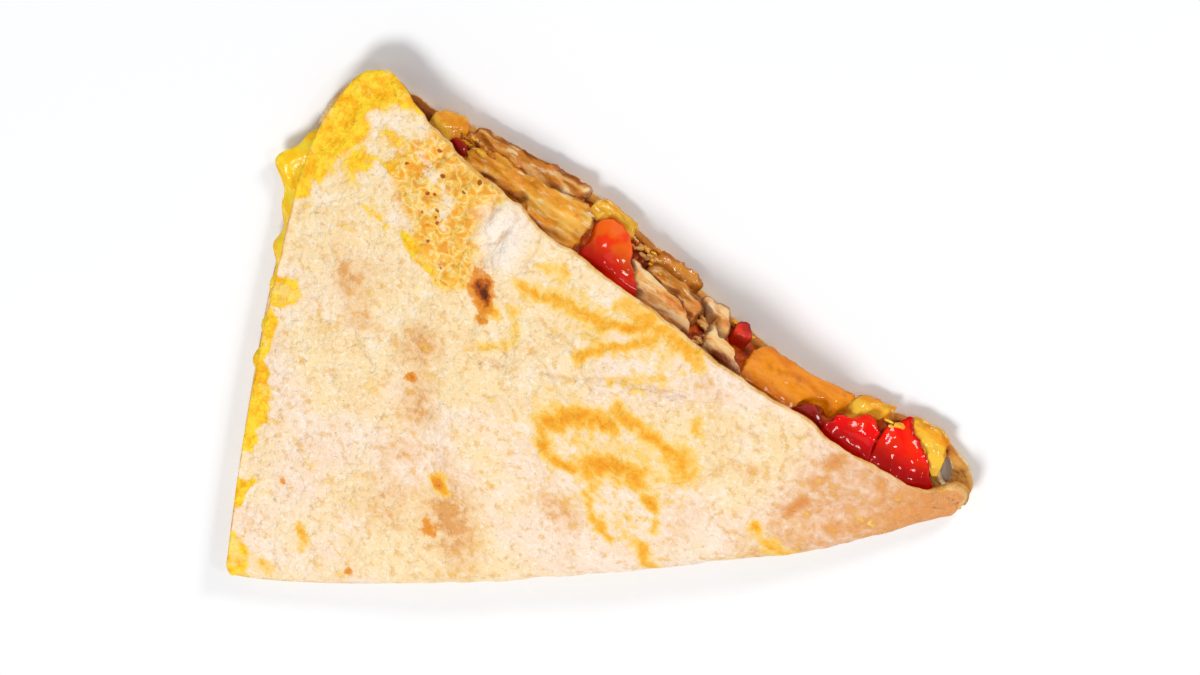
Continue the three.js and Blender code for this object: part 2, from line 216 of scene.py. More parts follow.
def top_height(x, y):
    """Height of the top surface: a dome that is highest behind the cut and low at the rim.

    The spans are shares of the way from the fold, which is 0, to the cut, which is 1.
    """
    r = np.hypot(x, y)
    angle = np.clip(np.arctan2(y, np.maximum(x, 1)), 0, WEDGE_ANGLE)
    q = 1 - angle / WEDGE_ANGLE
    dome = (DOME_RISE - FOLD_RISE) * ease(q, *DOME_SPAN)
    rise = FOLD_RISE + dome - (DOME_RISE - CUT_RISE) * ease(q, *DOME_FALL_SPAN)
    lift = swell(r, rim_radius(angle))
    wave = np.sin(x / 6.5 + 1.3) * np.cos(y / 5.6 + 0.4) + 0.7 * np.sin((x + y) / 3.7 + 2)
    return RIM_HEIGHT - tip_pinch(r) + rise * lift + TOP_WAVE * wave * lift * ease(q, *TOP_WAVE_SPAN)


def floor_lift(x, y):
    return LIP_HEIGHT * bell(x, LIP_AT[0], LIP_SPREAD[0]) * bell(y, LIP_AT[1], LIP_SPREAD[1])


def cut_thinning(x, y):
    return PRESSED * (1 - ease(y - upper_edge(x), 0, PRESSED_OVER)) * ease(x, *PRESSED_SPAN)


def from_fold(r, offset):
    """A place at the distance r along the fold, and an offset in from it."""
    straight = math.sqrt(0.5)
    return straight * (r + offset), straight * (r - offset)


def plan_point(r, q, front_x, front_y):
    """A place on a layer: q runs from 0 where the bend ends to 1 at the front."""
    back_x, back_y = from_fold(r, bend_radius(r) - fold_bow(r))
    arc = r * (np.cos((q - 0.5) * WEDGE_ANGLE) - math.cos(WEDGE_ANGLE / 2))
    x = blend(back_x, front_x, q) + arc * math.cos(WEDGE_ANGLE / 2)
    y = blend(back_y, front_y, q) + arc * math.sin(WEDGE_ANGLE / 2)
    return x, y


def sheet_middle(u, v):
    """The sheet's middle: u from tip to rim, v from the lower cut edge over the fold to the upper."""
    upper = v > 0
    share = np.abs(v)
    q = (share - BEND_SHARE) / (1 - BEND_SHARE)
    overhang = np.where(upper, RIM_OVERHANG["upper"], RIM_OVERHANG["lower"])
    rim = rim_radius(WEDGE_ANGLE * np.clip(1 - q, 0, 1)) + overhang
    own_row = np.where(upper, 5.0, 25.0)
    ragged = np.stack([40 * q, own_row, 0 * q], axis=-1)
    rim = rim + RIM_TEAR * rough(ragged, RIM_TEAR_WIDTH) * ease(q, *RIM_TEAR_SPAN)
    at_fold = START_AT_FOLD * (1 - ease(share, 0, START_SHARE))
    r = blend(at_fold + START_AT_CUT * ease(share, 1 - START_SHARE, 1), rim, u)
    blunt = BLUNT * np.sin(np.pi * share) * (1 - ease(r, 0, BLUNT_TO))
    ragged = np.stack([r, own_row, 0 * r], axis=-1)
    tear = (CUT_TEAR + WORST_TEAR * bell(r, *WORST_TEAR_AT)) * rough(ragged, CUT_TEAR_WIDTH)
    tear = tear * ease(r, *CUT_TEAR_SPAN)
    front_y = np.where(upper, upper_edge(r), lower_edge(r)) + tear
    x, y = plan_point(r, q, r, front_y)
    top = blend(fold_height(r), top_height(x, y), ease(q, 0, BEND_BLEND))
    z = np.where(upper, top - SHEET / 2, SHEET / 2 + floor_lift(x, y))
    turn = np.clip(v / BEND_SHARE, -1, 1) * math.pi / 2
    bend = bend_radius(r)
    bend_x, bend_y = from_fold(r, bend * (1 - np.cos(turn)) - fold_bow(r))
    flat = q > 0
    x = np.where(flat, x, bend_x) - blunt
    y = np.where(flat, y, bend_y)
    z = np.where(flat, z, SHEET / 2 + bend * (1 + np.sin(turn)))
    return np.stack([x, y, z], axis=-1)


def sheet_outward(u, v):
    """The way out of the sheet's outer face."""
    step = 1e-3
    along = sheet_middle(u + step, v) - sheet_middle(u - step, v)
    across = sheet_middle(u, v + step) - sheet_middle(u, v - step)
    outward = np.cross(across, along)
    return outward / np.linalg.norm(outward, axis=-1, keepdims=True)


def sheet_lines():
    """The grid's lines, with some more close to every edge, where the sheet is rounded off."""
    counts = SHEET_COLUMNS
    near_edge = 1 - np.array([0.002, 0.005, 0.009])
    columns = np.concatenate([
        np.linspace(-1, -BEND_SHARE, counts["lower"], endpoint=False),
        np.linspace(-BEND_SHARE, BEND_SHARE, counts["bend"], endpoint=False),
        np.linspace(BEND_SHARE, 1, counts["upper"]),
        near_edge,
        -near_edge,
    ])
    rows = np.concatenate([np.linspace(0, 1, SHEET_ROWS), 1 - near_edge, 1 - (1 - near_edge) * 0.6])
    return np.unique(rows), np.unique(columns)


def smear(x, y, path, width):
    """How strongly a stroke drawn through the points of `path` covers each place."""
    nearest = np.full(x.shape, 1e9)
    for (ax, ay), (bx, by) in zip(path, path[1:]):
        length = (bx - ax) ** 2 + (by - ay) ** 2
        share = np.clip(((x - ax) * (bx - ax) + (y - ay) * (by - ay)) / length, 0, 1)
        nearest = np.minimum(nearest, np.hypot(x - ax - share * (bx - ax), y - ay - share * (by - ay)))
    return 1 - ease(nearest, 0, 1.5 * width)


def spot(x, y, centre, size, turn=0):
    """How strongly an oval mark covers each place: its middle, half sizes, and turn in degrees."""
    c, s = math.cos(math.radians(turn)), math.sin(math.radians(turn))
    dx, dy = x - centre[0], y - centre[1]
    return np.exp(-((dx * c + dy * s) / size[0]) ** 2 - ((dy * c - dx * s) / size[1]) ** 2)


# Marks on the upper layer, in millimetres from the wedge's point: along the cut, then in from it.
# A stroke has its path, its width and its strength; a spot its middle, half sizes, turn and strength.
# Amber is oil and cheese that soaked through and fried, pink the darker crust in strokes near the tip,
# brown the griddle's toasting. Lace and yellow are cheese that ran out and fried on beside a pale
# blister.
# Pink also deepens towards the tip as painted shade, where the sheet slopes down.
AMBER = [
    ([(62.5, 28.5), (61, 25.8), (58, 23.4), (54.2, 21.6)], 2.9, 1.0),
    ([(62.5, 28.5), (62.1, 31), (59.9, 33.2), (56, 33.4), (52.8, 31.5)], 1.9, 0.9),
    ([(52.8, 31.5), (50.6, 28), (45.5, 26.6)], 3.4, 1.0),
    ([(54.6, 18), (51, 18.8), (47, 18.6), (43.4, 19.8)], 1.7, 0.9),
    ([(41.4, 19.2), (39.6, 21.6)], 3.2, 0.9),
    ([(50, 31.7), (50.2, 36), (47, 39.2), (42.9, 40.6)], 1.3, 0.75),
    ([(41.7, 29.6), (40.6, 30.4)], 1.9, 1.0),
    ([(38.6, 33.2), (37.8, 34.4)], 1.4, 0.7),
    ([(42.2, 12.6), (41.4, 13.4)], 1.6, 0.75),
    ([(38, 38.6), (34.8, 40.4)], 2.0, 0.85),
    ([(24.8, 23.2), (23.4, 24)], 1.6, 0.8),
    ([(20.6, 24.6), (18.2, 24.8)], 1.6, 0.8),
    ([(78.4, 10.8), (74.5, 10), (70.4, 8.8)], 2.2, 0.8),
    ([(70.4, 8.8), (66, 7.9), (62, 6), (59.2, 4.2)], 1.6, 0.95),
    ([(64.8, 15.4), (62.3, 10.9), (58.4, 7.5), (56.7, 4.4)], 1.5, 0.85),
    ([(63.5, 2.6), (56.1, 2.4), (48.2, 3)], 2.5, 0.8),
    ([(58, 14.6), (55, 11.8), (51.4, 9)], 1.6, 0.5),
    ([(78.9, 6.3), (75, 4.5), (73.8, 6.4)], 1.4, 0.6),
    ([(79, 25), (75.8, 22.4), (75.4, 19), (77.8, 15.6)], 1.5, 0.55),
    ([(82.6, 19), (80.2, 18.2)], 1.8, 0.9),
    ([(106.5, 4), (105.6, 5)], 1.9, 1.0),
    ([(99.8, 11), (97.2, 12.8)], 1.7, 1.0),
    ([(95.8, 3.4), (94.8, 4.4)], 2.0, 1.0),
    ([(92.8, 0.2), (90.6, 1.2)], 1.7, 0.8),
    ([(88.8, 17.6), (87.6, 18.2)], 1.5, 1.0),
    ([(72.2, 50.6), (70.2, 51.8)], 1.7, 1.0),
    ([(86.4, 75), (83.8, 77.2)], 1.3, 0.8),
    ([(88.8, 85), (86.6, 85.8)], 1.8, 0.6),
    ([(60, 29), (52, 26), (44, 24)], 8, 0.38),
    ([(72, 9), (62, 8), (52, 6)], 5, 0.36),
    ([(48, 37), (40, 36)], 5, 0.34),
]
PINK = [
    ([(19.4, 3.4), (20.4, 5.2)], 2.2, 1.0),
    ([(20.2, 8.2), (20.9, 9.4)], 2.0, 0.9),
    ([(20.4, 13.4), (21.3, 17.4)], 2.0, 1.1),
    ([(14.5, 16), (9.5, 11), (5, 6.5)], 2.2, 0.9),
    ([(12.4, 3.2), (10, 5.2)], 2.0, 0.9),
]
BROWN = [
    ((104, 30.5), (7, 4.5), -22, 1.0),
    ((98, 35.2), (5, 4), 0, 0.8),
    ((87.4, 32), (6, 6.5), 0, 0.95),
    ((82, 41), (5, 8), 25, 0.9),
    ((79.5, 50.5), (5, 5), 0, 0.8),
    ((67, 55), (12, 6), -48, 1.15),
    ((77, 60), (5, 7), 30, 0.9),
    ((52.3, 41.8), (6, 4.4), 0, 0.95),
    ((43.5, 5), (4, 2.6), 20, 0.7),
    ((31, 13.7), (3, 2.4), 0, 0.8),
    ((96, 60), (9, 6), 0, 0.4),
    ((36, 30), (9, 5), 40, 0.5),
    ((34, 9), (8, 5), 10, 0.5),
]
SPECKS = [
    ((68.2, 59.7), 1.8),
    ((75.3, 76), 0.9),
    ((71.4, 51.5), 1.1),
    ((93, 70), 0.8),
    ((85.3, 37.8), 1.2),
]
BURNT = ((84, 16.8), (4.2, 2.3), 122)
BLISTER = ((86.2, 6), (5.2, 7.2), 0)
LACE = [
    ((102, 6), (7.5, 6.5), 0),
    ((95.5, 12), (6, 4.5), 0),
    ((98, 0.5), (7.5, 3.5), 0),
    ((90.5, 16.5), (3.5, 4), 30),
]
YELLOW = [
    ((113.5, 12.5), (3, 4), 0),
    ((108, 9), (3.4, 2.2), 30),
    ((105.4, 18), (3.4, 1.8), 0),
    ((111, 4.5), (3, 2.4), 0),
    ((93, 19), (5, 2.4), -9),
    ((98, 17.5), (3, 2), 0),
]
# Cheese fried onto the rim: the angle from the cut and half the width, in degrees, and how far in.
RIM_PATCHES = [
    (-1, 6, 8.5),
    (4.5, 4, 8),
    (8, 2.6, 5),
    (10.8, 1.6, 3.4),
    (20.4, 1.4, 5),
    (23.4, 1.2, 2.6),
    (25, 1.4, 1.6),
    (28, 1.8, 3.4),
    (30.8, 2.2, 4),
    (34, 1.0, 2),
    (37.6, 0.9, 3.4),
    (38.8, 1.0, 1.6),
    (43.6, 1.8, 3.6),
    (45.4, 1.2, 3),
]
# Creases are sunk in, and also painted a darker tan as painted shade, where shade falls in them.
CREASES = [
    ([(87.3, 13.6), (86.5, 4.9), (85.8, 1.8), (88.2, 0.1)], 0.8),
    ([(84.7, 4.4), (84.5, 0.4)], 0.7),
    ([(91, 3), (89, 8), (84.5, 12)], 0.7),
    ([(82, 2), (80.5, 5), (81, 9)], 0.7),
    ([(83, 20), (82, 24), (79, 26.8), (74, 25.4)], 0.9),
    ([(80, 22), (78, 24), (75, 23.4)], 0.7),
    ([(66, 21), (58, 14), (48, 9.5)], 0.9),
    ([(39.5, 25.5), (35.6, 18.9), (34, 13.6), (34.5, 10)], 0.6),
    ([(74, 14), (66, 15), (60, 19)], 0.8),
    ([(72, 19), (66, 21), (62, 25)], 0.8),
    ([(101, 37), (92, 41.5)], 0.7),
]


def strokes(x, y, paths):
    """The strongest of several strokes at each place."""
    total = np.zeros(x.shape)
    for path, width, strength in paths:
        total = np.maximum(total, strength * smear(x, y, path, width))
    return total


def toast_marks(x, y, from_rim, on_top):
    """Strength of each kind of mark at each place of the sheet. Their outlines are shaken a little."""
    flat = np.stack([x, y, 0 * x], axis=-1)
    near_x = x + 0.6 * rough(flat, 2.4, 2)
    near_y = y + 0.6 * rough(flat + 50, 2.4, 2)
    brown = np.zeros(x.shape)
    for centre, size, turn, strength in BROWN:
        brown = np.maximum(brown, strength * spot(near_x, near_y, centre, size, turn))
    burnt = spot(near_x, near_y, *BURNT)
    for centre, size in SPECKS:
        burnt = np.maximum(burnt, 0.62 * spot(x, y, centre, (size, size)))
    rim_x = np.degrees(np.arctan2(y, x)) + 0.5 * rough(flat, 3, 2)
    rim_y = from_rim + 0.7 * rough(flat + 20, 2, 2)
    fried = []
    for at, wide, deep in RIM_PATCHES:
        fried.append(1.1 - ease(np.hypot((rim_x - at) / wide, rim_y / deep), 0.4, 1.4))
    yellow = np.maximum(np.max(fried, axis=0), 0.7 * sum(spot(near_x, near_y, *at) for at in YELLOW))
    # Painted shade: pink deepens towards the tip, where the sheet slopes down.
    tip_slope_shade = 0.62 * ease(34 - x, 0, 17) + 0.4 * ease(13 - x, 0, 10)
    marks = {
        "amber": strokes(near_x, near_y, AMBER),
        "brown": brown,
        "burnt": burnt,
        "pink": np.maximum(tip_slope_shade, strokes(near_x, near_y, PINK)),
        "yellow": yellow,
        "pale": spot(near_x, near_y, *BLISTER),
        "lace": sum(spot(near_x, near_y, *at) for at in LACE),
        "crease": np.max([smear(near_x, near_y, path, width) for path, width in CREASES], axis=0),
    }
    marks = {name: on_top * np.clip(value, 0, 1.2) for name, value in marks.items()}
    marks["brown"] = blend(ease(rough(flat + 90, 13, 2), 0.15, 0.9), brown, on_top)
    return marks


def sheet_relief(points, upper, marks):
    """How far the baked surface stands above or below the plain sheet, in millimetres.

    Each roughness is a height times lumps of a width: broad swells, blisters, and grain. The pale
    blister is wrinkled, the lace is a raised net, and creases and the burnt spot are sunk in.
    """
    x, y = points[..., 0], points[..., 1]
    swelling = 0.42 * rough(points, 15, 2) + 0.24 * rough(points, 5.5, 2) + 0.13 * rough(points, 2.1, 2)
    wrinkles = 0.8 * marks["pale"] * (1 - 2.4 * np.abs(rough(points, 3.6, 2, (0.8, 1.5, 1))))
    net = 0.45 * np.clip(marks["lace"], 0, 1) * (1 - 2.6 * np.abs(rough(points, 2.8, 2)))
    crust = 0.35 * ease(marks["yellow"], 0.35, 0.9) * (0.6 + 0.8 * rough(points, 2.4, 2))
    fan = spot(x, y, (68, 18), (13, 10), 40) * 0.4 * rough(points, 2.8, 2, (3, 0.6, 1))
    raised = 0.7 * marks["pale"] + wrinkles + net + crust + fan
    sunk = 0.6 * marks["crease"] + 0.5 * ease(marks["burnt"], 0.4, 1)
    return np.where(upper, swelling - 0.4 + raised - sunk, -0.10 * np.abs(swelling))


def placed(name, data):
    """A new object of the scene, made of a mesh, a lamp or a camera."""
    made = bpy.data.objects.new(name, data)
    bpy.context.collection.objects.link(made)
    return made


def smooth_piece(name, points, faces):
    """A smooth piece through points that are given in millimetres from the wedge's point."""
    mesh = bpy.data.meshes.new(name)
    mesh.from_pydata(((points + wedge_point) * MM).tolist(), [], faces)
    mesh.shade_smooth()
    return placed(name, mesh)


def write_mark(mesh, mark, values):
    """Keeps a mark's strength at every point of a mesh, where its material reads it."""
    layer = mesh.attributes.new(mark, "FLOAT", "POINT")
    layer.data.foreach_set("value", values.astype(np.float32))


def closed_skin(name, outer, inner, marks=None):
    """A closed piece between two matching grids of points, with its marks for either side."""
    rows, columns = outer.shape[:2]
    index = np.arange(rows * columns).reshape(rows, columns)
    corners = [index[:-1, :-1], index[:-1, 1:], index[1:, 1:], index[1:, :-1]]
    quads = np.stack(corners, axis=-1).reshape(-1, 4)
    offset = rows * columns
    edge = np.concatenate([index[0, :-1], index[:-1, -1], index[-1, :0:-1], index[:0:-1, 0]])
    follow = np.roll(edge, -1)
    walls = np.stack([follow, edge, edge + offset, follow + offset], axis=-1)
    faces = np.concatenate([quads, quads[:, ::-1] + offset, walls])
    points = np.concatenate([outer.reshape(-1, 3), inner.reshape(-1, 3)])
    piece = smooth_piece(name, points, faces.tolist())
    for mark, sides in (marks or {}).items():
        write_mark(piece.data, mark, np.concatenate([side.ravel() for side in sides]))
    return piece


def baked_mesh(piece):
    """Puts the modifiers of a piece into its mesh."""
    mesh = bpy.data.meshes.new_from_object(piece.evaluated_get(bpy.context.evaluated_depsgraph_get()))
    piece.modifiers.clear()
    unmodified = piece.data
    piece.data = mesh
    bpy.data.meshes.remove(unmodified)
    mesh.name = piece.name
    mesh.shade_smooth()


rows, columns = sheet_lines()
u, v = np.meshgrid(rows, columns, indexing="ij")
middle = sheet_middle(u, v)
outward = sheet_outward(u, v)
outside = middle + outward * SHEET / 2
cad_low, cad_high = (np.array(corner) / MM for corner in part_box("tortilla"))
wedge_point = np.zeros(3)
sheet_low = outside.min(axis=(0, 1))
sheet_high = outside.max(axis=(0, 1))
wedge_point[:2] = ((cad_low + cad_high) / 2 - (sheet_low + sheet_high) / 2)[:2]

upper = v > 0
q = (np.abs(v) - BEND_SHARE) / (1 - BEND_SHARE)
radius = np.hypot(middle[..., 0], middle[..., 1])
from_cut = (1 - q) * WEDGE_ANGLE * np.maximum(radius, 4)
from_edge = np.minimum(np.minimum(from_cut, (1 - u) * RIM_RADIUS), u * RIM_RADIUS + 0.2)
EDGE_ROUNDING = 0.8
EDGE_KEPT = 0.4
RIM_THINNING = 0.25
RIM_THINNING_SPAN = (0.95, 1)
rounding = np.sqrt(1 - (1 - np.clip(from_edge / EDGE_ROUNDING, 0, 1)) ** 2)
half = SHEET / 2 * (1 - RIM_THINNING * ease(u, *RIM_THINNING_SPAN))
thinned = half - np.where(v > BEND_SHARE, cut_thinning(middle[..., 0], middle[..., 1]), 0)
on_top = ease(v, -0.9 * BEND_SHARE, 0.2 * BEND_SHARE)
marks = toast_marks(middle[..., 0], middle[..., 1], (1 - u) * RIM_RADIUS, on_top)
relief = sheet_relief(middle, upper, marks) * ease(from_edge, 0, 1.2) * ease(radius, 1, 9)
centre_line = (half - thinned) / 2
plump = blend(EDGE_KEPT, 1, rounding)
outer = middle + outward * (centre_line + (half - centre_line) * plump + relief)[..., None]
inner = middle + outward * (centre_line - (thinned + centre_line) * plump)[..., None]

# The edges are browned. The filling has stained the inner side tan, and the lower layer's cut edge in
# patches; at the corner the inner side is darkened as painted shade. The outer side's marks don't reach
# the inner one.
zero = np.zeros(u.shape)
edge_mark = 1 - ease(from_edge, 0.0, 0.7)
lower_cut = np.where(upper, 0, 1 - ease(from_cut, 0.3, 2.5))
sheet_marks = {name: (value, zero) for name, value in marks.items()}
sheet_marks["edge"] = (edge_mark, edge_mark)
sheet_marks["inside"] = (lower_cut * 0.3, 1 - 0.8 * ease(u, 0.97, 0.99))
# Painted shade: the inner side darkened at the corner, where the lower layer lies in shade.
at_corner = ease(middle[..., 0], 97, 108) * (1 - ease(middle[..., 1], 4, 12))
sheet_marks["corner_shade"] = (zero, at_corner)
tortilla = closed_skin("tortilla_sheet", outer, inner, sheet_marks)

# The opening at the curled tip: where the lower layer turns up beside the filling, it stands off from
# it and leaves a slot that one can see through. It is cut out of the sheet as an upright oval.
HOLE_AT = (4.1, -1.8)
HOLE_HALF_LENGTH = 2.7
HOLE_HALF_WIDTH = 1.1
HOLE_TURN = math.radians(-64)
HOLE_LEVELS = (-2.0, 3.6)
HOLE_SIDES = 24
turn = np.linspace(0, 2 * math.pi, HOLE_SIDES, endpoint=False)
lengthwise = HOLE_HALF_LENGTH * np.cos(turn)
crosswise = HOLE_HALF_WIDTH * np.sin(turn)
hole_x = HOLE_AT[0] + lengthwise * math.cos(HOLE_TURN) - crosswise * math.sin(HOLE_TURN)
hole_y = HOLE_AT[1] + lengthwise * math.sin(HOLE_TURN) + crosswise * math.cos(HOLE_TURN)
levels = [np.stack([hole_x, hole_y, np.full(HOLE_SIDES, z)], axis=-1) for z in HOLE_LEVELS]
lower_ring = list(range(HOLE_SIDES))
upper_ring = list(range(HOLE_SIDES, 2 * HOLE_SIDES))
sides = [(i, (i + 1) % HOLE_SIDES, HOLE_SIDES + (i + 1) % HOLE_SIDES, HOLE_SIDES + i) for i in lower_ring]
caps = [tuple(reversed(lower_ring)), tuple(upper_ring)]
cutter = smooth_piece("tip_opening", np.concatenate(levels), sides + caps)
cut = tortilla.modifiers.new("tip", "BOOLEAN")
cut.object = cutter
cut.operation = "DIFFERENCE"
cut.solver = "EXACT"
baked_mesh(tortilla)
bpy.data.meshes.remove(cutter.data)


def colour(code):
    """Linear colour of an sRGB hex code."""
    parts = [int(code[i : i + 2], 16) / 255 for i in (1, 3, 5)]
    return tuple(p / 12.92 if p <= 0.04045 else ((p + 0.055) / 1.055) ** 2.4 for p in parts) + (1.0,)


def per_mm(size):
    """Texture scale whose features are about `size` millimetres wide."""
    return 1 / (size * MM)


def node(tree, kind, inputs=None, out=0, **settings):
    """Adds a shader node with its settings and links, and gives one of its outputs.

    An input is named, or numbered where the node has several of one name.
    """
    made = tree.nodes.new("ShaderNode" + kind)
    for name, value in settings.items():
        setattr(made, name, value)
    for name, value in (inputs or {}).items():
        if isinstance(value, bpy.types.NodeSocket):
            tree.links.new(value, made.inputs[name])
        else:
            made.inputs[name].default_value = value
    return made.outputs[out]


def material(name, **values):
    """A principled material with some of its inputs set; gives it with its tree, shader and place."""
    made = bpy.data.materials.new(name)
    made.use_nodes = True
    tree = made.node_tree
    shader = tree.nodes["Principled BSDF"]
    for label, value in values.items():
        shader.inputs[label.replace("_", " ")].default_value = value
    return made, tree, shader.inputs, node(tree, "TexCoord", out="Object")


def coated(tree, tone, *coats):
    """Lays coats over a tone: the colour of each, its mask, from where to where, and its strength."""
    for over, mask, low, high, strength in coats:
        share = {"Value": mask, "From Min": low, "From Max": high, "To Max": strength}
        share = node(tree, "MapRange", share, interpolation_type="SMOOTHSTEP")
        over = colour(over) if isinstance(over, str) else over
        tone = colour(tone) if isinstance(tone, str) else tone
        tone = node(tree, "Mix", {0: share, 6: tone, 7: over}, out=2, data_type="RGBA")
    return tone


def broken(tree, mark, grain, spread):
    """A mark whose edge is broken up by a grain, with the same middle value."""
    value = node(tree, "Attribute", out="Fac", attribute_name=mark, attribute_type="GEOMETRY")
    shifted = node(tree, "Math", {0: grain, 1: spread, 2: -spread / 2}, operation="MULTIPLY_ADD")
    return node(tree, "Math", {0: value, 1: shifted}, operation="ADD")


# Griddled wheat tortilla: matt, floury and speckled, with tan toasting where blisters met the
# griddle, amber stains of fried cheese, and yellow cheese at the corner and the rim. Its flour and
# grit are too fine to show, so both are drawn about 1 mm wide.
baked, tree, surface, place = material("griddled_wheat_tortilla", IOR=1.45, Specular_IOR_Level=0.3)
patchy = node(tree, "TexNoise", {"Vector": place, "Scale": per_mm(20), "Detail": 3.0})
mottle = node(tree, "TexNoise", {"Vector": place, "Scale": per_mm(6), "Detail": 6.0, "Roughness": 0.62})
freckle = node(tree, "TexNoise", {"Vector": place, "Scale": per_mm(1.7), "Detail": 4.0, "Roughness": 0.6})
flour = node(tree, "TexNoise", {"Vector": place, "Scale": per_mm(0.8), "Detail": 3.0})
grit = node(tree, "TexNoise", {"Vector": place, "Scale": per_mm(1.1), "Detail": 4.0, "Roughness": 0.7})
worms = node(tree, "TexNoise", {"Vector": place, "Scale": per_mm(2.2), "Detail": 3.0, "Distortion": 0.5})
net = node(tree, "Math", {0: worms, 1: -0.5}, operation="ADD")
net = node(tree, "Math", {0: net}, operation="ABSOLUTE")
brown = broken(tree, "brown", mottle, 0.7)
browned = node(tree, "Math", {0: freckle, 1: -0.5}, operation="ADD")
browned = node(tree, "Math", {0: browned, 1: 1.6, 2: brown}, operation="MULTIPLY_ADD")
pink = broken(tree, "pink", freckle, 1.2)
pale = broken(tree, "pale", freckle, 0.8)
crease = broken(tree, "crease", freckle, 0.9)
amber = broken(tree, "amber", freckle, 1.5)
yellow = broken(tree, "yellow", mottle, 1.4)
yellow = node(tree, "Math", {0: freckle, 1: 0.9, 2: yellow}, operation="MULTIPLY_ADD")
lace = broken(tree, "lace", mottle, 1.3)
dots = node(tree, "TexVoronoi", {"Vector": place, "Scale": per_mm(2.6)}, out="Distance")
dots = node(tree, "Math", {0: freckle, 1: 0.5, 2: dots}, operation="MULTIPLY_ADD")
dots = {"Value": dots, "From Min": 0.46, "From Max": 0.3, "To Min": 0.0, "To Max": lace}
dots = node(tree, "MapRange", dots)
burnt = broken(tree, "burnt", freckle, 1.1)
cut_edge = broken(tree, "edge", mottle, 0.8)
inside = broken(tree, "inside", mottle, 0.6)
corner_shade = broken(tree, "corner_shade", mottle, 0.5)
fried = coated(tree, "#FBB400", ("#FFD62A", freckle, 0.38, 0.6, 1), ("#FBE08A", mottle, 0.54, 0.66, 0.6))
lace_tone = coated(
    tree,
    "#FBDC90",
    ("#F8C04A", net, 0.01, 0.04, 1),
    ("#EE9A1C", net, 0.07, 0.14, 0.85),
    ("#FCE9CC", mottle, 0.49, 0.4, 0.85),
    ("#DE7E12", freckle, 0.58, 0.7, 0.6),
)
edge_tone = coated(tree, "#F8D08C", ("#E2A044", mottle, 0.42, 0.58, 1), (fried, yellow, 0.6, 0.9, 1))
inside_tone = coated(
    tree,
    "#E6A650",
    ("#C4762A", mottle, 0.35, 0.65, 1),
    # Painted shade on the inner side at the corner.
    ("#8A3E0C", corner_shade, 0.2, 0.9, 0.8),
)
skin = coated(
    tree,
    "#FBE1C8",
    ("#FBDFAC", patchy, 0.42, 0.6, 1),
    ("#F3CB96", mottle, 0.46, 0.72, 0.6),
    ("#FDEEDD", mottle, 0.48, 0.3, 0.6),
    ("#DFA668", freckle, 0.52, 0.68, 0.5),
    ("#FFF3E4", flour, 0.53, 0.66, 0.55),
    ("#C08A50", grit, 0.6, 0.72, 0.5),
    ("#EDB97C", browned, 0.15, 1.1, 0.75),
    ("#D98E40", browned, 0.75, 1.15, 0.7),
    ("#E2984C", pink, 0.1, 0.95, 0.9),
    ("#DC8040", pink, 0.85, 1.25, 0.65),
    ("#FDF0E2", pale, 0.3, 0.8, 0.85),
    # Painted shade: a darker tan along the creases.
    ("#D3A468", crease, 0.5, 1.2, 0.5),
    ("#FBCF66", amber, 0.06, 0.55, 0.85),
    ("#F8B22A", amber, 0.42, 0.85, 0.95),
    ("#F0980C", amber, 0.78, 1.15, 0.95),
    (fried, yellow, 0.72, 1.05, 1),
    (lace_tone, lace, 0.2, 0.7, 0.95),
    ("#A04408", dots, 0.35, 0.7, 0.9),
    ("#EA9020", burnt, 0.2, 0.44, 0.95),
    ("#A8480A", burnt, 0.5, 0.8, 0.9),
    ("#4A1604", burnt, 0.75, 1.0, 0.9),
    (edge_tone, cut_edge, 0.2, 0.9, 0.85),
    (inside_tone, inside, 0.3, 0.7, 1),
)
tree.links.new(skin, surface["Base Color"])
oily = node(tree, "Math", {0: amber, 1: yellow}, operation="MAXIMUM")
sheen = {"Value": oily, "From Min": 0.4, "From Max": 1.2, "To Min": 0.8, "To Max": 0.55}
tree.links.new(node(tree, "MapRange", sheen), surface["Roughness"])
soft_grain = node(tree, "TexNoise", {"Vector": place, "Scale": per_mm(1.5), "Detail": 2.0})
grain = node(tree, "Math", {0: freckle, 1: 0.7, 2: soft_grain}, operation="MULTIPLY_ADD")
grain = node(tree, "Math", {0: mottle, 1: 1.4, 2: grain}, operation="MULTIPLY_ADD")
bump = node(tree, "Bump", {"Height": grain, "Strength": 0.9, "Distance": 0.6 * MM})
tree.links.new(bump, surface["Normal"])
tortilla.data.materials.clear()
tortilla.data.materials.append(baked)
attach(tortilla, "root")
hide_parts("tortilla")

# The melted cheese: grated mild yellow cheese that has run together under the upper layer into one
# soft sheet, and squeezed out past the rim in rounded lumps.
CHEESE_THICKNESS = 1.6
CHEESE_START = 18
CHEESE_SIDE = 0.07
CHEESE_FRONT = 6.9
CHEESE_GRID = (190, 150)
CHEESE_SET_BACK = 1.7
CHEESE_KNOB = 4.4
CHEESE_KNOB_AT = (0.133, 0.034)
CHEESE_LIP_SPAN = (0.965, 1.0)
CHEESE_LIP_PUFF = 1.4
CHEESE_LIP_LUMPS = 0.5
CHEESE_HALF_LEAST = 0.3


def cavity_floor(x, y):
    return SHEET + floor_lift(x, y) + GAP


def cavity_ceiling(x, y):
    return top_height(x, y) - SHEET - UNDER_GAP + cut_thinning(x, y)


def cheese_bottom(x, y):
    return np.maximum(cavity_ceiling(x, y) - CHEESE_THICKNESS, cavity_floor(x, y))


def layer_plan(grid, start, side, front, reach):
    """A grid over the wedge between the two layers of the sheet.

    It runs from `start` along the wedge to `reach` past its rim, and from the share `side` of the way
    from the fold to the cut, where it ends `front` in from a straight cut.
    """
    u, v = np.meshgrid(np.linspace(0, 1, grid[0]), np.linspace(0, 1, grid[1]), indexing="ij")
    q = blend(side, 1, v)
    angle = WEDGE_ANGLE * (1 - q)
    r = blend(start, rim_radius(angle) + reach(angle), u)
    x, y = plan_point(r, q, r, front)
    return u, x, y


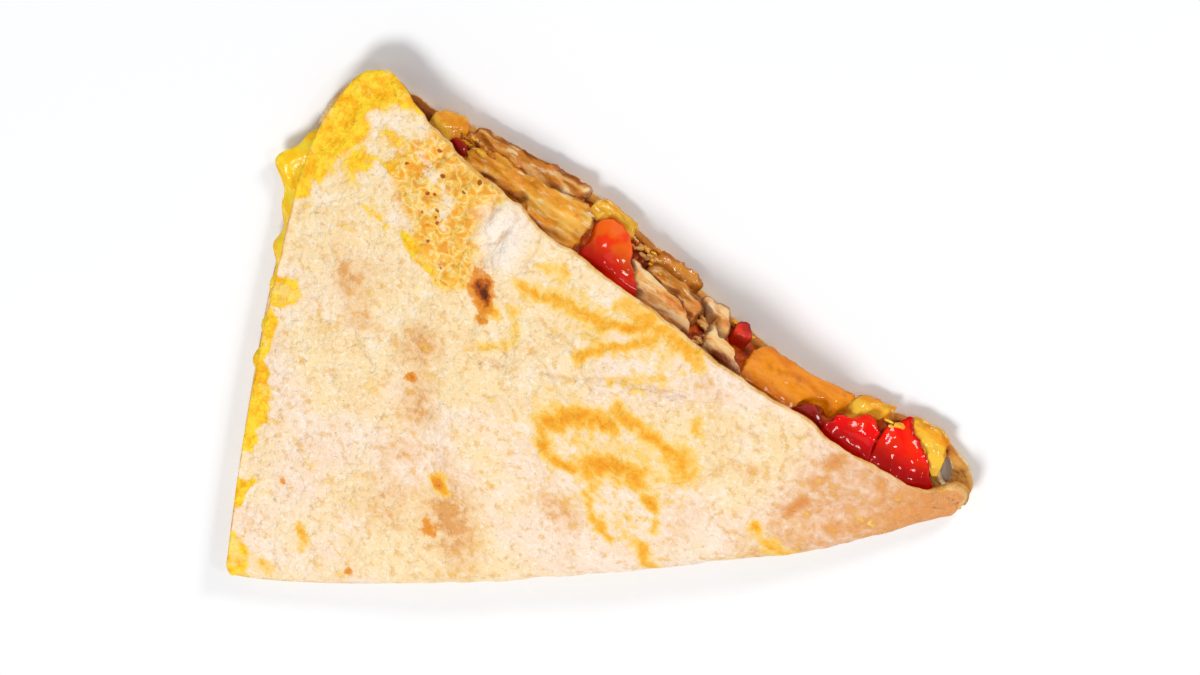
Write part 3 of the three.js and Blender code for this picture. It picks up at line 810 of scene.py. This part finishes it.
def cheese_reach(angle):
    """How far the cheese runs past the rim: long waves, one large knob and a fringe of fine lumps."""
    fringe = CHEESE_KNOB * bell(angle, *CHEESE_KNOB_AT) + 0.5 * np.sin(angle * 97 + 1)
    return -CHEESE_SET_BACK + 0.4 * np.sin(31 * angle) + fringe


u, x, y = layer_plan(CHEESE_GRID, CHEESE_START, CHEESE_SIDE, CHEESE_FRONT, cheese_reach)
flat = np.stack([x, y, 0 * x], axis=-1)
top = cavity_ceiling(x, y) + 0.12 * rough(flat, 5)
bottom = np.maximum(cheese_bottom(x, y) + 0.15 * rough(flat + 31, 6), cavity_floor(x, y) - 0.15)
lip = ease(u, *CHEESE_LIP_SPAN)
puff = CHEESE_LIP_PUFF * lip * (1 - lip) + CHEESE_LIP_LUMPS * lip * rough(flat, 1.8, 2)
middle_height = (top + bottom) / 2
half = np.maximum((top - bottom) / 2, CHEESE_HALF_LEAST)
half = half * np.sqrt(np.clip(1 - 0.97 * lip**2, 0, 1)) + puff
upper_side = np.stack([x, y, middle_height + half], axis=-1)
lower_side = np.stack([x, y, middle_height - half], axis=-1)
cheese = closed_skin("cheese_sheet", upper_side, lower_side)


def soft_cheese(name, bright, deep, dark):
    """Melted cheese: soft bands that run along the cut, a little see-through, with an oily shine."""
    made, tree, surface, place = material(
        name,
        Subsurface_Weight=0.15,
        Subsurface_Radius=(1.0, 0.5, 0.15),
        Subsurface_Scale=MM,
        Specular_IOR_Level=0.05,
        Coat_Weight=0.9,
        Coat_Roughness=0.1,
        Coat_IOR=1.33,
    )
    along_cut = node(tree, "Mapping", {"Vector": place, "Scale": (0.35, 1, 1)})
    band = node(tree, "TexNoise", {"Vector": along_cut, "Scale": per_mm(2.6), "Detail": 4.0})
    oil = node(tree, "TexNoise", {"Vector": place, "Scale": per_mm(2.0), "Detail": 3.0})
    tone = coated(
        tree,
        deep,
        (bright, band, 0.4, 0.6, 1),
        (dark, oil, 0.44, 0.26, 0.3),
        # Painted shade: darker under the upper sheet, and along the outline where the piece meets the
        # gaps.
        (dark, broken(tree, "under", band, 0.5), 0.7, 1.1, 0.95),
        (dark, broken(tree, "crevice_shade", oil, 0.7), 0.6, 1.1, 0.6),
    )
    tree.links.new(tone, surface["Base Color"])
    shine = {"Value": oil, "From Min": 0.35, "From Max": 0.65, "To Min": 0.2, "To Max": 0.42}
    tree.links.new(node(tree, "MapRange", shine), surface["Roughness"])
    bump = node(tree, "Bump", {"Height": oil, "Strength": 0.45, "Distance": 0.6 * MM})
    tree.links.new(bump, surface["Normal"])
    tree.links.new(bump, surface["Coat Normal"])
    return made


cheese.data.materials.append(soft_cheese("melted_yellow_cheese", "#FFDC34", "#FFC814", "#F2A010"))
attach(cheese, "root")
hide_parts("cheese")

# The core of the filling: chopped chicken, onion and pepper stewed in a reddish-brown sauce. It runs
# through the wedge between the cheese and the lower layer, and is seen dark behind the cut.
CORE_START = 22
CORE_SIDE = 0.11
CORE_FRONT = 7.3
CORE_MARGIN = 13
CORE_GRID = (130, 90)
CORE_THINNEST = 0.4
u, x, y = layer_plan(CORE_GRID, CORE_START, CORE_SIDE, CORE_FRONT, lambda angle: -CORE_MARGIN + 0 * angle)
flat = np.stack([x, y, 0 * x], axis=-1)
top = cheese_bottom(x, y) - GAP + 0.25 * rough(flat, 4) - 0.1
bottom = cavity_floor(x, y) + 0 * x
top = np.maximum(top, bottom + CORE_THINNEST)
core = closed_skin("filling_core", np.stack([x, y, top], axis=-1), np.stack([x, y, bottom], axis=-1))

# Stewed tomato sauce: dark red-brown pulp with orange oil standing on it, moist but hardly shiny.
sauce, tree, surface, place = material("stewed_tomato_sauce", Specular_IOR_Level=0.15, Roughness=0.28)
pulp = node(tree, "TexNoise", {"Vector": place, "Scale": per_mm(3), "Detail": 4.0})
oil = node(tree, "TexNoise", {"Vector": place, "Scale": per_mm(1.1), "Detail": 3.0})
tone = coated(tree, "#7E2204", ("#BC4A08", pulp, 0.4, 0.62, 1), ("#E58A20", oil, 0.6, 0.74, 0.7))
tree.links.new(tone, surface["Base Color"])
tree.links.new(node(tree, "Bump", {"Height": pulp, "Strength": 0.7, "Distance": MM}), surface["Normal"])
core.data.materials.append(sauce)
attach(core, "root")
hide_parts("filling")

# The sauce at the cut: the knife leaves a thin wet film between the pieces, from the lower layer up
# to the upper one. It lies a little behind the pieces and holds them together.
FRONT_FOOT = -1.2
FRONT_HEAD = 0.1


def front_point(x, level, depth):
    """A place at the cut: along it, a share of the way up the filling, and in from its front.

    The front leans: its foot stands out past the lower layer's edge, its head just inside the upper's.
    """
    y = blend(lower_edge(x) + FRONT_FOOT, upper_edge(x) + FRONT_HEAD, level) + depth
    z = blend(cavity_floor(x, y), cavity_ceiling(x, y), np.clip(level, 0.01, 0.97))
    return np.stack([x, y, z], axis=-1)


FILM_ALONG = np.linspace(5.5, 109, 420)
FILM_LEVELS = np.linspace(-0.03, 1.05, 48)
FILM_DEPTH = 1.9
FILM_LEAST_DEPTH = 0.7
FILM_CORNER_DEPTH = 1.6
FILM_CORNER_SPAN = (90, 109)
FILM_BACK = 4.2
along, level = np.meshgrid(FILM_ALONG, FILM_LEVELS, indexing="ij")
front = front_point(along, level, 0 * along)
depth = FILM_DEPTH + 0.5 * rough(front, 3.2) + 0.4 * rough(front, 1.2, 2)
depth = depth + FILM_CORNER_DEPTH * ease(along, *FILM_CORNER_SPAN)
front_side = front_point(along, level, np.maximum(depth, FILM_LEAST_DEPTH))
back_side = front_point(along, level, FILM_BACK + 0 * along)
film = closed_skin("sauce_film", front_side[:, ::-1], back_side[:, ::-1])
film.data.materials.append(sauce)
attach(film, "root")

# The pieces along the cut: each has its outline on the filling's front, as places along the cut and
# levels up it, and two depths in from that front. The outline is spread a little and torn, the rim
# is rounded, the lower part droops down and out, and the piece's own stuff roughens it.
FRONT_HEIGHT = 9
PIECE_RINGS = 26
PIECE_SIDES = 140
PIECE_GRAIN = 0.25
SPREAD = 0.3
DROOP = 0.6
RAGGED = 0.65
RAGGED_WIDTH = 2.0
FACE_ROUNDING = 0.55
RIM_ROUNDING = 0.42
SPINE_BLEND = 2.5
CREVICE_SHADE_WIDTH = 1.1
SHADED_DEPTH = 2.5
CURVE_STEPS = 24


def smooth_ring(corners, count):
    """Evenly spaced places on a smooth closed curve through the corners."""
    line = []
    for i in range(len(corners)):
        p = [corners[(i + k - 1) % len(corners)] for k in range(4)]
        knot = np.cumsum([0] + [np.linalg.norm(p[k + 1] - p[k]) ** 0.5 for k in range(3)])
        at = np.linspace(knot[1], knot[2], CURVE_STEPS, endpoint=False)[:, None]
        first = [blend(p[k], p[k + 1], (at - knot[k]) / (knot[k + 1] - knot[k])) for k in range(3)]
        second = []
        for k in range(2):
            second.append(blend(first[k], first[k + 1], (at - knot[k]) / (knot[k + 2] - knot[k])))
        line.extend(blend(second[0], second[1], (at - knot[1]) / (knot[2] - knot[1])))
    line = np.array(line + line[:1])
    run = np.concatenate([[0], np.cumsum(np.linalg.norm(np.diff(line, axis=0), axis=1))])
    at = np.linspace(0, run[-1], count, endpoint=False)
    return np.stack([np.interp(at, run, line[:, k]) for k in range(2)], axis=-1)


def body_of_rings(name, bodies):
    """One mesh of closed bodies, each through rings of points that shrink to a point at both ends."""
    points, faces, start = [], [], 0
    for rings in bodies:
        count, sides = len(rings) - 2, rings.shape[1]
        index = start + np.arange(count * sides).reshape(count, sides)
        follow = np.roll(index, -1, axis=1)
        between = np.stack([index[:-1], index[1:], follow[1:], follow[:-1]], axis=-1)
        faces += between.reshape(-1, 4).tolist()
        near = start + count * sides
        faces += [[near, a, b] for a, b in zip(index[0].tolist(), follow[0].tolist())]
        faces += [[near + 1, b, a] for a, b in zip(index[-1].tolist(), follow[-1].tolist())]
        points += [*rings[1:-1].reshape(-1, 3), rings[0].mean(axis=0), rings[-1].mean(axis=0)]
        start = near + 2
    return smooth_piece(name, np.array(points), faces)


def chunk(name, outline, depth, relief):
    """A piece of filling, with marks for painted shade under the upper sheet and in the crevices along
    its outline.

    It swells from a spine along its middle to its outline, so that a long piece keeps its thickness.
    """
    ring = smooth_ring(np.array(outline) * (1, FRONT_HEIGHT), PIECE_SIDES)
    follow = np.roll(ring, -1, axis=0)
    if (ring[:, 0] * follow[:, 1] - follow[:, 0] * ring[:, 1]).sum() < 0:
        ring = ring[::-1]
    onward = np.roll(ring, -1, axis=0) - np.roll(ring, 1, axis=0)
    outward = np.stack([onward[:, 1], -onward[:, 0]], axis=-1) / np.linalg.norm(onward, axis=1)[:, None]
    ragged = np.concatenate([ring, 0 * ring[:, :1] + depth[1]], axis=1)
    ring = ring + outward * (SPREAD + RAGGED * rough(ragged, RAGGED_WIDTH, 3))[:, None]
    inset = np.ptp(ring, axis=0).min() / 2
    spine_x = np.clip(ring[:, 0], ring[:, 0].min() + inset, ring[:, 0].max() - inset)
    near = bell(ring[:, 0], spine_x[:, None], SPINE_BLEND)
    spine = np.stack([spine_x, (near * ring[:, 1]).sum(axis=1) / near.sum(axis=1)], axis=-1)
    turn = np.linspace(0, math.pi, PIECE_RINGS)[:, None]
    share = (1 - np.sign(np.cos(turn)) * np.abs(np.cos(turn)) ** FACE_ROUNDING) / 2
    grow = np.sin(turn)[..., None] ** RIM_ROUNDING
    flat = blend(spine, ring, grow)
    level = flat[..., 1] / FRONT_HEIGHT
    points = front_point(flat[..., 0], level, blend(*depth, share) + 0 * level)
    points = points - DROOP * np.clip(1 - level, 0, 1.1)[..., None] ** 2 * (0, 1, 1)
    piece = body_of_rings(name, [points])
    even = piece.modifiers.new("even", "REMESH")
    even.mode = "VOXEL"
    even.voxel_size = PIECE_GRAIN * MM
    soften = piece.modifiers.new("soften", "SMOOTH")
    soften.iterations = 3
    baked_mesh(piece)
    vertices = piece.data.vertices
    places = np.empty(3 * len(vertices))
    normals = np.empty(3 * len(vertices))
    vertices.foreach_get("co", places)
    vertices.foreach_get("normal", normals)
    places = places.reshape(-1, 3) / MM - wedge_point
    places = places + normals.reshape(-1, 3) * relief(places)[:, None]
    vertices.foreach_set("co", ((places + wedge_point) * MM).ravel())
    # Painted shade: the mark "under" is the share of the way up from the lower layer to the upper one,
    # and is full from just behind the upper layer's edge inwards. The materials darken the piece by it,
    # as painted shade beneath the overhanging sheet.
    x, y, z = places.T
    share = (z - cavity_floor(x, y)) / (cavity_ceiling(x, y) - cavity_floor(x, y))
    share = np.where(y < upper_edge(x) + FRONT_HEAD + SHADED_DEPTH, share, 1)
    place = np.stack([x, share * FRONT_HEIGHT], axis=-1)
    # Painted shade in the crevices: this mark is strongest at the piece's outline on the cut, where it
    # meets the gaps between pieces, and the materials darken the piece there.
    from_ring = np.linalg.norm(place[:, None] - ring[None], axis=-1).min(axis=1)
    crevice_shade = 1 - ease(from_ring, 0, CREVICE_SHADE_WIDTH)
    write_mark(piece.data, "under", share)
    write_mark(piece.data, "crevice_shade", crevice_shade)
    piece.data.update()
    return piece


def place_chunks(pieces, suffix, relief, stuff):
    """Makes a group of pieces, each of its own stuff or of what the others are made of."""
    for name, (outline, depth) in pieces.items():
        piece = chunk(name + suffix, outline, depth, relief)
        piece.data.materials.append(stuff[name] if name in stuff else stuff["other"])
        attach(piece, "root")
        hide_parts(name)


# Chicken: strips of boiled breast pulled along the grain, so long soft fibres stand on them, coated
# in the sauce. Two lie one above the other along the first third of the cut, more at its middle.
CHICKEN = {
    "chicken_1": (
        [(99.8, 0.55), (96.5, 0.43), (91, 0.38), (86, 0.35), (81, 0.3), (77.4, 0.3), (75.6, 0.5)]
        + [(75.6, 0.86), (78.5, 0.95), (83.6, 0.94), (86.2, 0.9), (88, 0.87), (90.2, 0.94), (98.6, 0.92)],
        (-0.2, 5),
    ),
    "chicken_2": (
        [(100.6, 0.14), (99, 0.02), (94, 0), (87, 0), (81, 0.02), (79.3, 0.08)]
        + [(80.5, 0.2), (85, 0.26), (91, 0.29), (96, 0.33), (99.4, 0.28)],
        (-0.2, 4),
    ),
    "chicken_3": (
        [(66.8, 0.5), (64.5, 0.52), (60, 0.54), (56.8, 0.55), (54.8, 0.66)]
        + [(53.2, 0.8), (52.1, 0.97), (62.3, 0.98), (64.2, 0.78), (65.7, 0.62)],
        (-0.3, 5),
    ),
    "chicken_4": (
        [(64, 0.38), (62, 0.28), (57, 0.26), (54, 0.27), (52.5, 0.5), (53, 0.66)]
        + [(54.8, 0.58), (56.6, 0.47), (60.5, 0.46), (63, 0.46)],
        (-0.3, 4),
    ),
    "chicken_5": (
        [(53.6, 0.14), (51, 0.03), (49.3, 0.02), (47.5, 0.25), (46.9, 0.45), (48, 0.5)]
        + [(49.6, 0.36), (51.5, 0.3), (53.2, 0.24)],
        (-0.4, 4.4),
    ),
    "chicken_6": (
        [(49.6, 0.44), (48.3, 0.57), (47, 0.58), (45.2, 0.57), (43.8, 0.67), (42.6, 0.85)]
        + [(41.9, 0.98), (48.2, 0.98), (49.2, 0.75)],
        (-0.4, 4.6),
    ),
}


def fibres(points):
    """Strands along the grain with clefts between them, torn across here and there."""
    strands = 0.32 * (1 - 2.4 * np.abs(rough(points, 1.9, 2, (3, 1, 0.8))))
    torn = 0.15 * rough(points, 0.9, 1, (2.5, 1, 1)) + 0.6 * rough(points, 3.2, 2, (1.5, 1, 1))
    return strands + torn - 0.15


def pulled_chicken(name, bright, middle, dark):
    """Pulled chicken in sauce: pale strands and brown clefts, partly their own colour and partly painted
    highlight and painted shade, an orange glaze and a thin wet shine.

    Real fibres are too fine to show, so the strands are drawn about 1 mm wide.
    """
    made, tree, surface, place = material(
        name,
        Subsurface_Weight=0.1,
        Subsurface_Radius=(1.0, 0.4, 0.15),
        Subsurface_Scale=MM,
        Specular_IOR_Level=0.12,
        Coat_Weight=0.25,
        Coat_Roughness=0.15,
        Coat_IOR=1.33,
    )
    along_grain = node(tree, "Mapping", {"Vector": place, "Scale": (0.36, 1, 1)})
    strand = node(tree, "TexNoise", {"Vector": along_grain, "Scale": per_mm(1.0), "Detail": 4.0})
    bundle = node(tree, "TexNoise", {"Vector": along_grain, "Scale": per_mm(2.4), "Detail": 4.0})
    glaze = node(tree, "TexNoise", {"Vector": place, "Scale": per_mm(3), "Detail": 4.0})
    # The mask of painted shade under the upper sheet.
    under = broken(tree, "under", bundle, 0.5)
    tone = coated(
        tree,
        middle,
        (bright, bundle, 0.45, 0.6, 1),
        (dark, bundle, 0.42, 0.3, 0.7),
        # Darker in the clefts between the strands and paler on their tops, following the bump: partly the
        # fibres' own colour, partly painted shade and a painted highlight.
        (dark, strand, 0.43, 0.3, 0.5),
        ("#FFE6B6", strand, 0.55, 0.66, 0.7),
        ("#E07408", glaze, 0.52, 0.66, 0.55),
        # Painted shade: darker under the upper sheet, darkest just beneath it, and along the outline
        # where the piece meets the gaps.
        ("#A8480A", under, 0.75, 1.1, 0.7),
        ("#561802", under, 0.92, 1.1, 0.9),
        ("#7A2A04", broken(tree, "crevice_shade", bundle, 0.8), 0.5, 1.1, 0.8),
    )
    tree.links.new(tone, surface["Base Color"])
    shine = {"Value": glaze, "From Min": 0.35, "From Max": 0.65, "To Min": 0.5, "To Max": 0.22}
    tree.links.new(node(tree, "MapRange", shine), surface["Roughness"])
    bump = node(tree, "Bump", {"Height": strand, "Strength": 0.8, "Distance": 0.5 * MM})
    tree.links.new(bump, surface["Normal"])
    tree.links.new(bump, surface["Coat Normal"])
    return made


golden_meat = pulled_chicken("sauced_pulled_chicken", "#FFC65A", "#F8A830", "#C87414")
brown_meat = pulled_chicken("browned_pulled_chicken", "#F4B666", "#D48428", "#8A3E06")
pale_meat = pulled_chicken("pale_pulled_chicken", "#FFDA9C", "#FFBE6E", "#CC6E22")
stuff = {
    "other": golden_meat,
    "chicken_2": brown_meat,
    "chicken_3": pale_meat,
    "chicken_4": brown_meat,
    "chicken_5": pale_meat,
    "chicken_6": pale_meat,
}
place_chunks(CHICKEN, "_strip", fibres, stuff)

# Tomato: pieces of ripe tomato about 11 mm wide, diced by knife and then cooked until their skin
# shines and their edges go soft. One still shows the orange flesh near its stalk.
TOMATO = {
    "tomato_1": (
        [(75.2, 0.5), (74.6, 0.27), (72.8, 0.15), (70, 0.2), (68.2, 0.4), (66.4, 0.62)]
        + [(64.6, 0.82), (63, 0.98), (74.2, 0.98), (74.8, 0.75)],
        (-0.7, 4.6),
    ),
    "tomato_2": (
        [(19.4, 0.24), (21.4, 0.36), (23, 0.52), (24.2, 0.78), (24.7, 0.98)]
        + [(15.9, 0.98), (16.4, 0.75), (17.1, 0.5), (18, 0.32)],
        (-0.7, 4.2),
    ),
    "tomato_3": (
        [(14.1, 0.05), (15.4, 0.16), (16.4, 0.38), (15.9, 0.7), (15.1, 0.98), (5.4, 0.98)]
        + [(4.4, 0.93), (6.2, 0.66), (8, 0.47), (10.5, 0.34), (12.5, 0.24)],
        (-0.5, 2.8),
    ),
}


def soft_skin(points):
    """Cooked skin: soft dents, and hardly any grain."""
    return 0.5 * rough(points, 3.8, 2) + 0.07 * rough(points, 1.4, 2) - 0.1


def wet_flesh(name, bright, deep, dark):
    """Cooked fruit under a film of juice: deep clear red, with small sharp glints on its seeds."""
    made, tree, surface, place = material(
        name,
        Roughness=0.3,
        Specular_IOR_Level=0.02,
        Coat_Weight=0.9,
        Coat_Roughness=0.08,
        Coat_IOR=1.33,
    )
    cloud = node(tree, "TexNoise", {"Vector": place, "Scale": per_mm(4), "Detail": 3.0})
    seeds = node(tree, "TexNoise", {"Vector": place, "Scale": per_mm(2.4), "Detail": 1.0})
    tone = coated(
        tree,
        deep,
        (bright, cloud, 0.42, 0.58, 1),
        # Painted shade: darker under the upper sheet, and along the outline where the piece meets the
        # gaps.
        (dark, broken(tree, "under", cloud, 0.5), 0.45, 1.0, 0.95),
        (dark, broken(tree, "crevice_shade", cloud, 0.6), 0.4, 1.0, 0.8),
    )
    tree.links.new(tone, surface["Base Color"])
    bump = node(tree, "Bump", {"Height": seeds, "Strength": 0.4, "Distance": 0.6 * MM})
    tree.links.new(bump, surface["Normal"])
    tree.links.new(bump, surface["Coat Normal"])
    return made


stuff = {
    "other": wet_flesh("cooked_red_tomato", "#FF2A00", "#FF0400", "#B40000"),
    "tomato_1": wet_flesh("cooked_orange_tomato", "#FF6A0A", "#FF3A00", "#C20400"),
}
place_chunks(TOMATO, "_piece", soft_skin, stuff)

# Red pepper: small strips of sweet pepper, sliced thin and stewed with the meat until they are dark
# and limp. They lie loose in the gaps between the larger pieces.
PEPPER = {
    "pepper_1": ([(103, 0.8), (101.9, 0.64), (100.4, 0.72), (99.4, 0.96), (101.4, 0.97)], (-0.3, 3.4)),
    "pepper_2": (
        [(46.2, 0.16), (45.4, 0.07), (43.8, 0.07), (43, 0.16), (43.2, 0.25), (44.4, 0.29), (45.8, 0.25)],
        (-0.4, 2.4),
    ),
    "pepper_3": ([(31, 0.98), (29.8, 0.8), (28.6, 0.7), (26.8, 0.78), (25.5, 0.98)], (-0.3, 3)),
}
stuff = {"other": wet_flesh("cooked_red_pepper", "#F03406", "#C01402", "#7C0A00")}
place_chunks(PEPPER, "_strip", soft_skin, stuff)

# Cheese at the cut: an orange slab that has slumped smooth, softer strips under the tomato, and a
# lump that has run out at the corner.
CHEESE = {
    "cheese_slab": (
        [(42, 0.1), (41, 0.02), (33, 0.01), (26, 0.01), (23.7, 0.06), (23.9, 0.25), (25.6, 0.42)]
        + [(28, 0.46), (29.8, 0.67), (31.5, 0.97), (40.2, 0.98), (41.3, 0.72), (42, 0.42)],
        (-0.1, 4.6),
    ),
    "cheese_strip_1": (
        [(78, 0.14), (76.8, 0.02), (73.5, -0.02), (70.4, 0), (69.2, 0.08), (70.4, 0.17), (73, 0.15)]
        + [(75, 0.2), (76.4, 0.26), (77.8, 0.24)],
        (-0.4, 2.4),
    ),
    "cheese_strip_2": (
        [(22.9, 0.06), (20.5, 0.01), (17, 0.02), (16.4, 0.12), (17.6, 0.2), (19.2, 0.14)]
        + [(21, 0.24), (22.8, 0.34)],
        (-0.4, 3),
    ),
    "cheese_strip_3": (
        [(13.4, 0.02), (10, -0.01), (7.2, 0.02), (5.9, 0.18), (5.3, 0.4), (5.2, 0.6)]
        + [(6.7, 0.52), (8.6, 0.4), (10.8, 0.28), (12.4, 0.17)],
        (-0.5, 1.8),
    ),
    "cheese_strip_4": ([(63.5, 0.1), (62, 0), (55.5, 0), (54.5, 0.08), (56, 0.18), (62, 0.2)], (-0.2, 3)),
    "cheese_blob": (
        [(107.9, 0.5), (106.5, 0.08), (103.5, 0.02), (101.6, 0.1), (101.8, 0.48)]
        + [(103.7, 0.7), (106.4, 0.85)],
        (-0.4, 4.4),
    ),
}


def slumped(points):
    """Cheese that has sagged as it melted: long smooth swells along the cut."""
    return 0.55 * rough(points, 4, 2, (2, 1, 1)) + 0.2 * rough(points, 1.6, 2) - 0.12


gold_cheese = soft_cheese("melted_gold_cheese", "#FFC63C", "#F29A18", "#B4580A")
stuff = {
    "other": gold_cheese,
    "cheese_slab": soft_cheese("melted_orange_cheese", "#FF9A0A", "#EC8202", "#963C00"),
    "cheese_strip_4": soft_cheese("browned_cheese", "#E89A38", "#C8741C", "#7E3C0A"),
}
place_chunks(CHEESE, "_melt", slumped, stuff)

# Torn bits: shreds of chicken and of cheese, 1 to 3 mm long, that came off the larger pieces when the
# meat was pulled and the wedge was cut. They fill the gaps at the cut and stick in the sauce.
SHRED_RINGS = 10
SHRED_SIDES = 10


def shreds(name, gaps, length, seed):
    """Bent little bodies, so many to each gap: its range along the cut, of levels and of depths."""
    dice = np.random.default_rng(seed)
    bodies = []
    for count, along, levels, depths in gaps:
        for _ in range(count):
            at = front_point(dice.uniform(*along), dice.uniform(*levels), dice.uniform(*depths))
            reach = dice.uniform(*length)
            girth = reach * dice.uniform(0.18, 0.32)
            way = np.array([1, dice.uniform(-0.5, 0.5), dice.uniform(-0.6, 0.6)])
            way = way / np.linalg.norm(way)
            side = np.cross(way, (0, 0.6, 0.8))
            side = side / np.linalg.norm(side)
            rise = np.cross(side, way)
            tilt, turn = np.meshgrid(
                np.linspace(0, math.pi, SHRED_RINGS),
                np.linspace(0, 2 * math.pi, SHRED_SIDES, endpoint=False),
                indexing="ij",
            )
            run = -np.cos(tilt)
            bow = dice.uniform(-0.5, 0.5) * reach * (run**2 - 1) / 2
            wide = girth * np.sin(tilt) ** 0.6 * (1 + dice.uniform(-0.3, 0.3, tilt.shape))
            parts = (run * reach / 2, wide * np.cos(turn) + bow, wide * np.sin(turn) * 0.7)
            axes = (way, side, rise)
            bodies.append(at + sum(part[..., None] * axis for part, axis in zip(parts, axes)))
    return body_of_rings(name, bodies)


MEAT_GAPS = [
    (14, (92, 102), (0.28, 0.5), (-0.2, 1)),
    (10, (62, 69), (0, 0.3), (0, 1.4)),
    (6, (76, 80), (0.2, 0.35), (0.2, 1.2)),
    (8, (49, 52.5), (0.35, 0.9), (0.8, 1.8)),
]
CHEESE_GAPS = [
    (10, (95, 103), (0.3, 0.6), (0, 1.2)),
    (6, (62, 70), (0, 0.4), (0.2, 1.2)),
    (5, (43, 54), (0, 0.15), (0, 1)),
    (4, (14, 18), (0.1, 0.5), (0.2, 1)),
]
meat_bits = shreds("chicken_shreds", MEAT_GAPS, (1.2, 2.6), 5)
meat_bits.data.materials.append(brown_meat)
cheese_bits = shreds("cheese_shreds", CHEESE_GAPS, (1.0, 2.2), 8)
cheese_bits.data.materials.append(gold_cheese)
for piece, slot in ((meat_bits, "chicken"), (cheese_bits, "cheese")):
    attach(piece, "root")

# The floor: a plain white sheet of paper, four metres wide, just under the wedge. Over it stands the
# soft light of a studio: an even white sky and three round lamps.
FLOOR_HALF_WIDTH = 2.0
FLOOR_DROP = 0.2
SKY_STRENGTH = 0.38
reach = FLOOR_HALF_WIDTH
corners = [(-reach, -reach, 0), (reach, -reach, 0), (reach, reach, 0), (-reach, reach, 0)]
floor_mesh = bpy.data.meshes.new("floor")
floor_mesh.from_pydata(corners, [], [(0, 1, 2, 3)])
floor = placed("floor", floor_mesh)
floor.location.z = -FLOOR_DROP * MM
# White paper: matt and even, so it carries nothing but a soft shadow.
floor_mesh.materials.append(material("white_paper", Base_Color=colour("#F7F8FA"), Roughness=0.9)[0])

world = bpy.data.worlds.new("studio")
world.use_nodes = True
sky = world.node_tree.nodes["Background"].inputs
sky["Color"].default_value = (1, 1, 1, 1)
sky["Strength"].default_value = SKY_STRENGTH
bpy.context.scene.world = world

LAMP_DISTANCE = 1.2


def lamp(name, direction, size, power):
    """A round lamp that shines at the wedge from a direction: its width in metres and its watts."""
    made = bpy.data.lights.new(name, "AREA")
    made.shape = "DISK"
    made.size = size
    made.energy = power
    holder = placed(name, made)
    toward = Vector(direction).normalized()
    holder.location = toward * LAMP_DISTANCE
    holder.rotation_mode = "QUATERNION"
    holder.rotation_quaternion = toward.to_track_quat("Z", "Y")


lamp("key", (-0.1, 0.6, 1.0), 0.5, 8.7)
lamp("fill", (-0.1, -1.0, 0.6), 0.25, 4.2)
lamp("sparkle", (-0.5, -0.6, 1.0), 0.12, 1.0)

# The camera stands far off with a long lens and looks down at the wedge from over its cut. It is
# turned about its view line, so that the cut runs from the upper left to the lower right.
TILT = math.radians(27)
ROLL = (0.81355, 0.58149)
AIM = (0.0024, -0.0285, 0.005)
CAMERA_DISTANCE = 3.0
FRAME_WIDTH = 0.200
SENSOR = 36.0
toward_camera = Vector((0, -math.sin(TILT), math.cos(TILT)))
across = Vector((1, 0, 0))
onward = Vector((0, math.cos(TILT), math.sin(TILT)))
right = -ROLL[0] * across - ROLL[1] * onward
up = ROLL[1] * across - ROLL[0] * onward
camera_data = bpy.data.cameras.new("camera")
camera_data.sensor_width = SENSOR
camera_data.lens = SENSOR * CAMERA_DISTANCE / FRAME_WIDTH
camera = placed("camera", camera_data)
placement = Matrix((right, up, toward_camera)).transposed().to_4x4()
placement.translation = Vector(AIM) + toward_camera * CAMERA_DISTANCE
camera.matrix_world = placement
scene = bpy.context.scene
scene.camera = camera
scene.view_settings.view_transform = "Standard"
